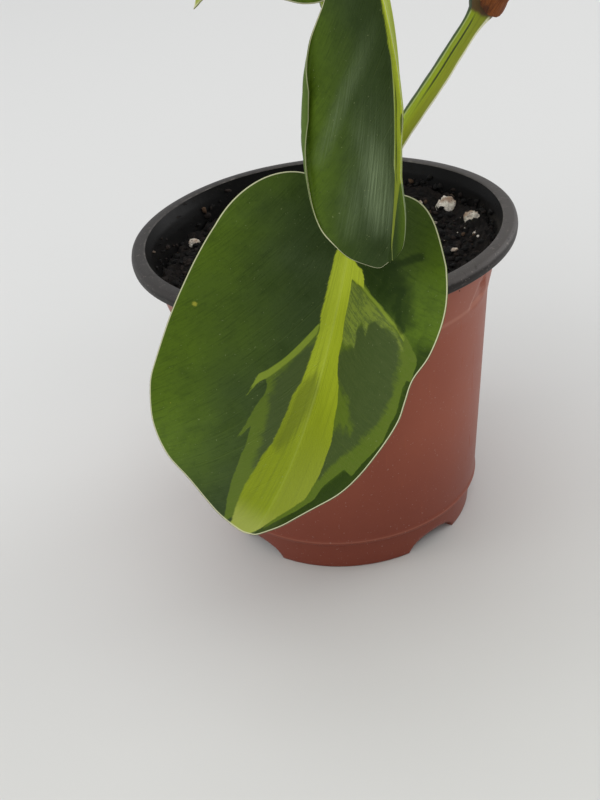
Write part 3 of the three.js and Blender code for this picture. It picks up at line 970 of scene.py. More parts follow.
# What a leaf has where its own values don't say otherwise. Margins, outlines and lines are in leaf
# units: along the midrib, and across it. A hand is 0 for the right side, 1 for the left, -1 for none.
plainLeaf = {
    "right": [
        (1, 0), (0.96, 0.04), (0.9, 0.15), (0.83, 0.37), (0.69, 0.74), (0.48, 0.98), (0.24, 0.98),
        (0.04, 0.83), (-0.11, 0.6), (-0.17, 0.34), (-0.13, 0.12), (-0.03, 0),
    ],
    "thickness": 0.7,
    "perSide": 96,
    "rings": 34,
    "ringPower": 1.25,
    "veinSlope": (0.5, 0.5),
    "valley": 3.0,
    "foldChange": ((0, 1), (0, 0)),
    "roll": {"width": 1, "angle": 1, "hand": -1},
    "rollShare": ((0, 1), (1, 1)),
    "cream": 1,
    "paleUnder": -1,
    "rib": 0.35,
    "ribLine": ((0, 1), (0, 0)),
    "pale": [],
    "wrinkleShades": [],
    "spots": [],
}
leaves = [
    {
        "name": "front_low",
        "base": (4.1, -53, 111.4),
        "bend": (-10, -69.5, 64.2),
        "tip": (-27, -86.7, 52.6),
        "faceAtBase": (0.03, -0.71, 0.70),
        "faceAtTip": (-0.54, -0.76, 0.36),
        "fold": (22, 56),
        "curl": (4, 18),
        "halfWidth": 40.5,
        "right": [
            (1.011, 0), (1.02, 0.1), (1.006, 0.3), (0.955, 0.53), (0.9, 0.74), (0.79, 0.925), (0.65, 1.005),
            (0.52, 1.005), (0.34, 0.97), (0.125, 0.905), (-0.05, 0.79), (-0.16, 0.6), (-0.2, 0.37),
            (-0.16, 0.14), (-0.03, 0),
        ],
        "left": [
            (1.011, 0), (0.998, 0.13), (0.97, 0.34), (0.93, 0.5), (0.87, 0.67), (0.79, 0.84), (0.7, 0.94),
            (0.6, 0.985), (0.49, 0.995), (0.42, 0.965), (0.35, 0.94), (0.26, 0.975), (0.13, 0.95),
            (0.01, 0.85), (-0.13, 0.68), (-0.18, 0.48), (-0.16, 0.2), (-0.03, 0),
        ],
        "wave": (1.1, 5, 0.6),
        "petiole": [(8, -4, 92), (7, -13, 112), (6, -31, 126.5), (5.2, -46, 123)],
        "perSide": 190,
        "rings": 64,
        "veinSlope": (0.8, 0.28),
        "lime": [[
            (-0.02, 0.05), (0.04, 0.08), (0.17, 0.092), (0.24, 0.097), (0.29, 0.082), (0.34, 0.093),
            (0.47, 0.115), (0.52, 0.146), (0.57, 0.148), (0.7, 0.172), (0.756, 0.2), (0.867, 0.219),
            (0.95, 0.2), (1.04, 0.15), (1.04, 0.06), (0.999, 0.0), (0.965, -0.1), (0.93, -0.22), (0.9, -0.34),
            (0.85, -0.49), (0.746, -0.513), (0.674, -0.479), (0.626, -0.472), (0.554, -0.385),
            (0.504, -0.351), (0.448, -0.289), (0.404, -0.214), (0.357, -0.169), (0.298, -0.155),
            (0.247, -0.125), (0.2, -0.12), (0.167, -0.118), (0.106, -0.102),
            (0.12, -0.19), (0.128, -0.262), (0.117, -0.24), (0.098, -0.232), (0.085, -0.215), (0.067, -0.185),
            (0.06, -0.13), (0.045, -0.09), (0.02, -0.06), (-0.02, -0.03),
        ]],
        "band": [[
            (0.104, -0.053), (0.123, -0.2), (0.158, -0.38), (0.19, -0.53), (0.225, -0.66), (0.27, -0.78),
            (0.285, -0.77), (0.24, -0.67), (0.222, -0.57), (0.228, -0.52), (0.212, -0.45), (0.222, -0.4),
            (0.268, -0.4), (0.228, -0.32), (0.255, -0.29), (0.32, -0.33), (0.305, -0.27), (0.32, -0.22),
            (0.3, -0.15), (0.2, -0.1),
        ]],
        "outline": [[
            (0.108, -0.21), (0.14, -0.344), (0.165, -0.47), (0.192, -0.579), (0.212, -0.678), (0.24, -0.76),
            (0.248, -0.745), (0.218, -0.65), (0.2, -0.56), (0.172, -0.44), (0.15, -0.33), (0.125, -0.22),
        ], [
            (0.265, 0.09), (0.352, 0.187), (0.407, 0.252), (0.465, 0.343), (0.482, 0.382), (0.578, 0.42),
            (0.548, 0.397), (0.51, 0.368), (0.49, 0.32), (0.45, 0.265), (0.38, 0.17), (0.3, 0.085),
        ]],
        "patch": [[
            (0.05, -0.1), (0.109, -0.241), (0.138, -0.344), (0.162, -0.47), (0.188, -0.579), (0.207, -0.678),
            (0.225, -0.735), (0.25, -0.812), (0.288, -0.909), (0.358, -0.938), (0.358, -0.9), (0.388, -0.9),
            (0.46, -0.949), (0.5, -0.949), (0.566, -0.972), (0.603, -0.953), (0.656, -0.909), (0.717, -0.868),
            (0.699, -0.756), (0.736, -0.697), (0.786, -0.623), (0.843, -0.607), (0.9, -0.46), (0.945, -0.26),
            (0.985, -0.08), (0.8, -0.3), (0.4, -0.1), (0.1, -0.02),
        ], [
            (0.25, 0.05), (0.265, 0.092), (0.352, 0.187), (0.407, 0.252), (0.465, 0.343), (0.482, 0.382),
            (0.578, 0.42), (0.548, 0.397), (0.51, 0.368), (0.495, 0.328), (0.512, 0.31), (0.544, 0.31),
            (0.595, 0.343), (0.665, 0.363), (0.76, 0.398), (0.69, 0.347), (0.667, 0.329), (0.726, 0.317),
            (0.798, 0.317), (0.88, 0.3), (0.949, 0.266), (1.03, 0.2), (0.9, 0.1), (0.5, 0.05),
        ]],
        "core": [[
            (0.33, -0.15), (0.314, -0.247), (0.32, -0.338), (0.269, -0.254), (0.233, -0.322), (0.226, -0.389),
            (0.207, -0.439), (0.2, -0.48), (0.217, -0.62), (0.247, -0.749), (0.3, -0.789), (0.365, -0.808),
            (0.441, -0.867), (0.512, -0.862), (0.562, -0.796), (0.62, -0.733), (0.695, -0.627), (0.76, -0.53),
            (0.7, -0.35), (0.5, -0.2), (0.367, -0.1),
        ], [
            (0.299, 0.08), (0.362, 0.145), (0.435, 0.225), (0.492, 0.28), (0.56, 0.275), (0.64, 0.26),
            (0.74, 0.24), (0.8, 0.2), (0.72, 0.14), (0.586, 0.1), (0.42, 0.05),
        ]],
        "finger": [[
            (0.434, -0.269), (0.474, -0.39), (0.512, -0.525), (0.541, -0.606), (0.576, -0.633),
            (0.567, -0.562), (0.58, -0.544), (0.573, -0.46), (0.6, -0.42), (0.6, -0.3), (0.45, -0.2),
        ]],
        "smear": [[
            (0.43, 0.03), (0.466, 0.1), (0.52, 0.13), (0.57, 0.13), (0.63, 0.14), (0.7, 0.16), (0.72, 0.11),
            (0.64, 0.05), (0.56, 0.01), (0.48, -0.01),
        ]],
        # painted shade: the hollow by the joint under the upper leaf, and a strip along the lower margin
        "paintedShade": [[
            (-0.05, -0.12), (0.06, -0.15), (0.095, -0.247), (0.134, -0.371), (0.174, -0.556), (0.208, -0.708),
            (0.19, -0.75), (0.1, -0.64), (0.03, -0.48), (-0.05, -0.3),
        ], [
            (0.25, -0.86), (0.373, -0.9), (0.555, -0.94), (0.7, -0.8), (0.8, -0.6), (0.95, -0.3),
            (1.05, -0.2), (0.95, -0.8), (0.7, -1.1), (0.4, -1.1), (0.25, -1.0),
        ]],
        "rib": 0.1,
        # pale streaks: painted sheen
        "pale": [(7.0, 0.7, [(0.04, 0.45), (0.08, 0.15)])],
        # wrinkle lines: painted shade in creases near the joint, and a painted shadow under the upper leaf's
        # tip
        "wrinkleShades": [
            [(0.06, -0.333), (0.047, -0.388), (0.02, -0.508), (0.0, -0.592), (-0.013, -0.656)],
            [(0.12, -0.471), (0.1, -0.536), (0.1, -0.601), (0.127, -0.582), (0.147, -0.601), (0.16, -0.573)],
            [(0.173, -0.629), (0.193, -0.638), (0.215, -0.7)],
            [(0.075, -0.42), (0.1, -0.43), (0.12, -0.4)],
        ],
        "spots": [(0.287, 0.85, 0.9), (0.691, 0.857, 0.4)],
    },
    {
        "name": "front_high",
        "base": (12.4, -71.5, 183),
        "bend": (19.5, -72.5, 160),
        "tip": (10.5, -78, 115.1),
        "faceAtBase": (-0.40, -0.84, 0.37),
        "faceAtTip": (-0.16, -0.95, 0.28),
        "fold": (9, 80),
        "foldChange": (
            (0.12, 0.32, 0.42, 0.52, 0.62, 0.72, 0.82, 1),
            (-0.6, 0.4, 1, 3.3, 4.1, 1.9, 0.3, -2.7),
        ),
        "curl": (26, 12),
        "halfWidth": 22,
        "right": [
            (0.972, 0), (0.993, 0.08), (0.987, 0.22), (0.968, 0.41), (0.93, 0.56), (0.88, 0.7),
            (0.8, 0.82), (0.68, 0.91), (0.53, 0.94), (0.38, 0.885), (0.24, 0.755), (0.11, 0.55),
            (0.01, 0.4), (-0.04, 0.25), (-0.02, 0.08), (-0.015, 0),
        ],
        "left": [
            (0.972, 0), (0.955, 0.12), (0.93, 0.29), (0.885, 0.54), (0.84, 0.73), (0.76, 0.865),
            (0.68, 0.905), (0.5, 0.94), (0.33, 0.86), (0.17, 0.7), (0.04, 0.5), (-0.04, 0.28),
            (-0.02, 0.08), (-0.015, 0),
        ],
        "wave": (1.0, 3, 2.2),
        "petiole": [(9.5, 2, 128), (9.5, -14, 142), (9.5, -38, 159), (10.8, -60, 180)],
        "perSide": 130,
        "rings": 46,
        "veinSlope": (0.66, 0.5),
        "roll": {"width": 2.6, "angle": 225, "hand": 0},
        "rollShare": (
            (0.1, 0.2, 0.3, 0.42, 0.52, 0.62, 0.76, 0.88, 0.96),
            (0, 0.25, 0.6, 0.95, 1, 0.8, 0.62, 0.45, 0),
        ),
        "ringPower": 1.6,
        "valley": 0.8,
        "lime": [[
            (-0.1, 0.03), (0.3, 0.03), (0.36, -0.01), (0.55, -0.02), (0.74, -0.03), (0.88, -0.08),
            (0.93, -0.16), (0.88, -0.2), (0.8, -0.32), (0.74, -0.47), (0.69, -0.66), (0.65, -0.86),
            (0.6, -1.1), (-0.1, -1.1),
        ]],
        "thread": [[
            (0.33, -0.6), (0.4, -0.53), (0.5, -0.57), (0.6, -0.58), (0.66, -0.5), (0.67, -0.6), (0.6, -0.72),
            (0.5, -0.7), (0.4, -0.65),
        ], [
            (0.36, -1.1), (0.4, -0.97), (0.45, -0.88), (0.5, -0.95), (0.54, -1.1),
        ]],
        "ribLine": ((0, 0.66, 0.74, 0.82, 0.9, 0.945, 1), (0, 0, -0.05, -0.08, -0.17, -0.25, -0.3)),
        "rib": 0.9,
        "cream": 0.7,
        "paleUnder": 1,
        # pale streaks: painted sheen
        "pale": [
            (3.0, 0.5, [(0.2, 0.12), (0.32, 0.31), (0.433, 0.49), (0.517, 0.61), (0.6, 0.712), (0.67, 0.8)]),
            (5.5, 1.5, [(0.5, 0.33), (0.6, 0.22), (0.74, 0.157), (0.82, 0.12), (0.86, 0.11)]),
            (9.0, 0.45, [(0.4, 0.2), (0.7, 0.15), (0.85, 0.12)]),
            (5.0, 0.45, [(0.6, 0.351), (0.774, 0.388), (0.892, 0.407)]),
        ],
    },
    {
        "name": "front_left",
        "base": (22, -20, 204),
        "bend": (0, -26, 202),
        "tip": (-24.9, -31, 165.6),
        "faceAtBase": (-0.1, -0.55, 0.83),
        "faceAtTip": (-0.5, -0.6, 0.6),
        "fold": (18, 2),
        "curl": (36, 58),
        "halfWidth": 28,
        "left": [
            (1, 0), (0.955, 0.025), (0.9, 0.11), (0.87, 0.23), (0.83, 0.44), (0.8, 0.62), (0.77, 0.78),
            (0.71, 0.9), (0.6, 0.99), (0.45, 1.02), (0.24, 0.98), (0.04, 0.83), (-0.11, 0.6), (-0.17, 0.34),
            (-0.13, 0.12), (-0.03, 0),
        ],
        "wave": (1.2, 4, 1.1),
        "petiole": [(9, 6.5, 157), (15.5, 1, 172), (22, -8, 190)],
    },
    {
        "name": "right",
        "base": (73.4, -6, 203),
        "bend": (94.4, -10, 200),
        "tip": (104.6, -14, 145),
        "faceAtBase": (0.45, -0.35, 0.82),
        "faceAtTip": (0.85, -0.3, 0.4),
        "fold": (16, 16),
        "curl": (40, 34),
        "halfWidth": 31,
        "wave": (1.3, 5, 2.0),
        "petiole": [(52.6, 4.2, 163), (58.4, 1, 178), (66, -4, 194)],
    },
    {
        "name": "left",
        "base": (-58, 16, 212),
        "bend": (-86, 22, 212),
        "tip": (-107.6, 28, 158),
        "faceAtBase": (-0.35, -0.4, 0.84),
        "faceAtTip": (-0.8, -0.35, 0.45),
        "fold": (18, 16),
        "curl": (38, 42),
        "halfWidth": 33,
        "wave": (1.4, 5, 0.3),
        "petiole": [(2, 13.4, 195), (-12, 14, 206), (-36, 14.5, 212)],
    },
    {
        "name": "back",
        "base": (4, 62, 206),
        "bend": (0, 92, 204),
        "tip": (6, 107.6, 150),
        "faceAtBase": (0.05, 0.45, 0.88),
        "faceAtTip": (0.1, 0.85, 0.5),
        "fold": (15, 18),
        "curl": (40, 38),
        "halfWidth": 32,
        "wave": (1.3, 6, 1.5),
        "petiole": [(7.4, 12, 168), (7, 22, 184), (5, 44, 200)],
    },
    {
        "name": "back_right",
        "base": (66, 36, 218),
        "bend": (80, 52, 219),
        "tip": (88, 66, 180),
        "faceAtBase": (0.4, 0.2, 0.88),
        "faceAtTip": (0.7, 0.5, 0.5),
        "fold": (26, 24),
        "curl": (36, 34),
        "halfWidth": 21,
        "wave": (0.9, 4, 0.9),
        "petiole": [(58, 8.5, 187), (61, 18, 203), (64, 28, 214)],
    },
]


# Places flat leaf points, u along the midrib and v across it, on the bent blade
class Blade:
    def __init__(self, leaf):
        self.leaf = {**plainLeaf, **leaf}
        self.base, self.bend, self.tip = (np.array(leaf[key], float) for key in ("base", "bend", "tip"))
        self.share = np.linspace(0, 1, 400)
        steps = np.linalg.norm(np.diff(self.midrib(self.share), axis=0), axis=1)
        self.arc = np.concatenate([[0], np.cumsum(steps)])
        self.length = self.arc[-1]
        self.half = leaf["halfWidth"]
        self.scale = np.array([self.length, self.half])
        self.margins = [self.sideCurve(hand, 120) for hand in (0, 1)]

    def midrib(self, t):
        t = t[:, None]
        return (1 - t) ** 2 * self.base + 2 * t * (1 - t) * self.bend + t * t * self.tip

    def sideCurve(self, hand, count):
        corners = self.leaf["right"] if hand == 0 else self.leaf.get("left", self.leaf["right"])
        turned = (1, -1)[hand]
        return smoothCurve(np.array(corners) * self.scale * (1, turned), count, 0.001)[0]

    def localHalf(self, along, hand):
        curve = self.margins[hand]
        curve = curve[np.argsort(curve[:, 0])]
        return np.interp(along, curve[:, 0], np.abs(curve[:, 1]))

    # How far out and up the folded and curled blade comes at a flat point, and its slope there
    def section(self, u, v, along):
        leaf = self.leaf
        hand = np.where(v >= 0, 0, 1)
        folds = np.radians(leaf["fold"])
        fold = folds[hand] + np.radians(np.interp(along, *leaf["foldChange"])) * hand
        rate = np.radians(leaf["curl"])[hand] / self.half
        reach = np.abs(v)
        # a rolled margin turns over towards the upper face on a small radius
        roll = leaf["roll"]
        turnRate = math.radians(roll["angle"]) / roll["width"]
        width = roll["width"] * np.interp(along, *leaf["rollShare"]) + 0.001
        margin = self.localHalf(u, roll["hand"])
        limit = margin - 1.3 * width / (turnRate * roll["width"])
        share = (reach - limit) / np.maximum(margin - limit, 0.001)
        rolled = np.where((hand == roll["hand"]) & (width > 0.01), width * np.clip(share, 0, 1), 0)
        flatReach = np.where(rolled > 0, np.minimum(reach, limit), reach)
        slope = fold - rate * flatReach
        end = slope + turnRate * rolled
        out = (np.sin(fold) - np.sin(slope)) / rate + (np.sin(end) - np.sin(slope)) / turnRate
        up = (np.cos(slope) - np.cos(fold)) / rate + (np.cos(slope) - np.cos(end)) / turnRate
        # the two halves meet in a rounded valley
        up = up + np.mean(np.sin(folds)) * (np.hypot(v, leaf["valley"]) - reach)
        return out, up, end

    # Waves that grow towards the margin
    def ripple(self, u, v):
        height, count, phase = self.leaf["wave"]
        quarter = 0.25 * self.length
        away = np.minimum(np.hypot((u - quarter) / (0.75 * self.length), v / self.half), 1.1)
        turn = np.arctan2(v, u - quarter)
        broad = height * away ** 4 * np.sin(count * turn + phase)
        return broad + 0.2 * away ** 6 * np.sin(13 * turn + 2 * phase)

    # The place of a flat point, lifted off the blade's upper face
    def point(self, u, v, lift):
        along = np.clip(u / self.length, 0, 1)
        t = np.interp(along * self.length, self.arc, self.share)
        points = self.midrib(t)
        t = t[:, None]
        ahead = unit(2 * (1 - t) * (self.bend - self.base) + 2 * t * (self.tip - self.bend))
        face = np.outer(1 - along, self.leaf["faceAtBase"]) + np.outer(along, self.leaf["faceAtTip"])
        face = unit(face - ahead * np.sum(face * ahead, axis=1, keepdims=True))
        side = np.cross(ahead, face)
        points = points + ahead * (u - along * self.length)[:, None]
        out, up, slope = self.section(u, v, along)
        sign = np.where(v >= 0, 1, -1)
        points = points + side * (sign * (out - np.sin(slope) * lift))[:, None]
        return points + face * (up + self.ripple(u, v) + np.cos(slope) * lift)[:, None]


# Rings of flat points from the blade's joint out to its margin, which is the last ring
def ringedPoints(blade, perSide, shares):
    right, left = (blade.sideCurve(hand, perSide + 1) for hand in (0, 1))
    margin = np.vstack([right, left[::-1][1:-1]])
    rings = (shares[:, None, None] * margin).reshape(-1, 2)
    return margin, np.vstack([[(0, 0)], rings])


# The faces of a blade: its rings of points above, the same below, and maybe a seam row between them
def bladeFaces(rings, count, seam):
    half = 1 + rings * count
    last = half - count
    edges = [last, 2 * half, half + last] if seam else [last, half + last]
    faces = []
    for j in range(count):
        k = (j + 1) % count
        faces.append((0, 1 + k, 1 + j))
        faces.append((half, half + 1 + j, half + 1 + k))
        for inner in range(1, last, count):
            outer = inner + count
            faces.append((inner + j, inner + k, outer + k, outer + j))
            faces.append((half + inner + j, half + outer + j, half + outer + k, half + inner + k))
        for upper, lower in zip(edges, edges[1:]):
            faces.append((upper + j, upper + k, lower + k, lower + j))
    return faces


def lineDistance(points, line):
    nearest = np.full(len(points), 1e9)
    for (ax, ay), (bx, by) in zip(line, line[1:]):
        dx, dy = bx - ax, by - ay
        x, y = points[:, 0] - ax, points[:, 1] - ay
        t = np.clip((x * dx + y * dy) / (dx * dx + dy * dy + 1e-12), 0, 1)
        nearest = np.minimum(nearest, np.hypot(x - t * dx, y - t * dy))
    return nearest


# The distance to a closed outline, positive inside it
def signedDistance(points, outline):
    closed = [*outline, outline[0]]
    nearest = lineDistance(points, closed)
    inside = np.zeros(len(points), bool)
    for (ax, ay), (bx, by) in zip(closed, closed[1:]):
        if ay != by:
            crosses = (ay > points[:, 1]) != (by > points[:, 1])
            at = ax + (points[:, 1] - ay) * (bx - ax) / (by - ay)
            inside ^= crosses & (points[:, 0] < at)
    return np.where(inside, nearest, -nearest)


# A seeded streak along the midrib, with slivers that follow the side veins
def drawnPattern(seed):
    draw = random.Random(seed)
    patch, core, sides = [], [], []
    for sign in (1, -1):
        base = draw.uniform(0.05, 0.09)
        swell = draw.uniform(0.12, 0.3)
        centre = draw.uniform(0.45, 0.75)
        rows = []
        for i in range(15):
            u = -0.03 + 1.06 * i / 14
            width = base + swell * math.exp(-((u - centre) / 0.28) ** 2) * draw.uniform(0.8, 1.15)
            rows.append((u, sign * width * (1 - 0.5 * max(0, u - 0.8) / 0.2)))
        sides.append(rows)
    for sign in (1, -1):
        for _ in range(draw.choice((1, 1, 2))):
            start = draw.uniform(0.08, 0.45)
            reach = draw.uniform(0.35, 0.85)
            slope = draw.uniform(0.35, 0.7)
            depth = draw.uniform(0.12, 0.3)
            outline = [(start, 0.0)]
            steps = 6
            for i in range(1, steps + 1):
                v = reach * i / steps
                outline.append((start + slope * v + draw.uniform(-0.012, 0.012), v))
            for i in range(steps, 0, -1):
                v = reach * (i - 0.5) / steps
                jag = draw.uniform(-0.05, 0.05) + (0.07 if i % 2 else 0)
                outline.append((start + slope * v + depth * (1.15 - v / reach) + jag, v))
            outline.append((start + depth + 0.15, 0.0))
            patch.append([(u, sign * v) for u, v in outline])
            middle = [(start + 0.05 + slope * v * 0.9 + 0.02, 0.8 * v) for _, v in outline[1:steps + 1]]
            under = [(u + 0.5 * depth, 0.9 * v) for u, v in reversed(middle)]
            core.append([(u, sign * v) for u, v in middle + under])
    return {"lime": [sides[0] + sides[1][::-1]], "patch": patch, "core": core}


# The shape of a blade: its points, its faces and what its pattern is drawn from
def leafShape(blade, seed):
    leaf = blade.leaf
    rings = leaf["rings"]
    shares = 1 - (1 - np.linspace(0, 1, rings + 1)[1:]) ** leaf["ringPower"]
    margin, flat = ringedPoints(blade, leaf["perSide"], shares)
    count = len(margin)
    along, across = (flat / blade.scale).T
    hand = np.where(across >= 0, 0, 1)
    edge = np.abs(signedDistance(flat, margin)) / leaf["cream"]
    edge[-count:] = 0
    edge = np.where((hand == leaf["roll"]["hand"]) & (edge < 1.3), edge * 3, edge)
    vein = along - np.array(leaf["veinSlope"])[hand] * np.abs(across) + 0.12 * across ** 2
    # the upper face has a sunken midrib and shallow side veins, and the lower face a raised midrib
    rim = softStep(0, 4, edge)
    ridge = np.exp(-(flat[:, 1] / 1.3) ** 2) * softStep(-0.04, 0.05, along) * (1 - 0.6 * along)
    quilt = np.cos(2 * math.pi * 6 * vein + 0.9 * np.sin(9 * along + seed)) * rim
    patchy = 0.5 + 0.5 * np.sin(4 * across + 7 * along + seed)
    quilt = quilt * softStep(0.05, 0.3, np.abs(across)) * patchy
    upper = -0.22 * ridge + 0.05 * quilt
    under = -leaf["thickness"] * (0.45 + 0.55 * softStep(0, 1.6, edge)) - 0.75 * ridge + 0.05 * quilt
    top, bottom = (blade.point(*flat.T, lift) for lift in (upper, under))
    # the seam row stands out a little between the two faces
    seam, within = (blade.point(*(margin * share).T, np.full(count, -0.17)) for share in (1, 0.98))
    seam = seam + 0.14 * unit(seam - within)
    ground = {
        "leafAlong": along,
        "leafAcross": across,
        "vein": vein,
        "fan": across / (np.maximum(along, -0.2) + 0.4),
        "edge": edge,
        "rib": np.full(len(flat), leaf["rib"]),
        "ribGap": flat[:, 1] - blade.half * np.interp(along, *leaf["ribLine"]),
    }
    return flat, np.vstack([top, bottom, seam]), bladeFaces(rings, count, True), ground


# The distances to the outlines and lines of a leaf's pattern, for each of its flat points
def leafPattern(blade, flat, seed):
    leaf, scale = blade.leaf, blade.scale
    along = flat[:, 0] / blade.length
    pattern = leaf if "lime" in leaf else drawnPattern(40 + seed)
    gaps = {}
    for label in ("lime", "band", "outline", "patch", "core", "finger", "smear", "thread", "paintedShade"):
        gaps[label] = np.full(len(flat), -20.0)
        for outline in pattern.get(label, []):
            gaps[label] = np.maximum(gaps[label], signedDistance(flat, np.array(outline) * scale))
    gaps["core"] = np.minimum(gaps["core"], -gaps.pop("finger"))
    # the pale streaks mark a painted sheen
    gaps["pale"] = np.zeros(len(flat))
    for reach, strength, streak in leaf["pale"]:
        near = strength * (1 - softStep(0, reach, lineDistance(flat, np.array(streak) * scale)))
        first, last = streak[0][0], streak[-1][0]
        near = near * window(along, first - 0.05, first + 0.2, last - 0.1, last + 0.1)
        gaps["pale"] = np.maximum(gaps["pale"], near)
    # painted shade along the wrinkle lines
    gaps["wrinkleShade"] = np.full(len(flat), 20.0)
    for line in leaf["wrinkleShades"]:
        gaps["wrinkleShade"] = np.minimum(gaps["wrinkleShade"], lineDistance(flat, np.array(line) * scale))
    gaps["spot"] = np.full(len(flat), 9.0)
    for u, v, size in leaf["spots"]:
        away = np.linalg.norm(flat - (u, v) * scale, axis=1)
        gaps["spot"] = np.minimum(gaps["spot"], away / size)
    return gaps


def makeLeaf(leaf, seed, material):
    blade = Blade(leaf)
    flat, points, faces, ground = leafShape(blade, seed)
    half = len(flat)
    count = len(points) - 2 * half
    attributes = {}
    for label, values in {**ground, **leafPattern(blade, flat, seed)}.items():
        attributes[label] = np.concatenate([values, values, values[-count:]])
    # no cream on the seam row, nor on the upper face of the hand named by paleUnder
    edge = attributes["edge"]
    edge[-count:] = 0.3
    turned = np.flatnonzero(np.where(flat[:, 1] >= 0, 0, 1) == blade.leaf["paleUnder"])
    edge[turned] = np.maximum(edge[turned], 0.3)
    attributes["underside"] = np.repeat([0, 1, 0.5], [half, half, count])
    name = leaf["name"]
    makePiece(name + "_blade", points, faces, [material], ["leaf_" + name], attributes)
    return blade


leafColours = {
    "deep": (32, 50, 8),
    "green": (80, 104, 20),
    "sheen": (54, 70, 34),
    "patch": (89, 107, 34),
    "core": (67, 81, 42),
    "limeTop": (184, 198, 56),
    "lime": (160, 174, 40),
    "limeLow": (131, 145, 20),
    "limeTip": (160, 168, 84),
    "olive": (100, 112, 24),
    "band": (123, 139, 53),
    "bandDark": (90, 106, 48),
    "outline": (134, 152, 50),
    "cream": (206, 204, 168),
    "pale": (124, 140, 106),
    "rib": (180, 192, 112),
    "under": (96, 116, 62),
}


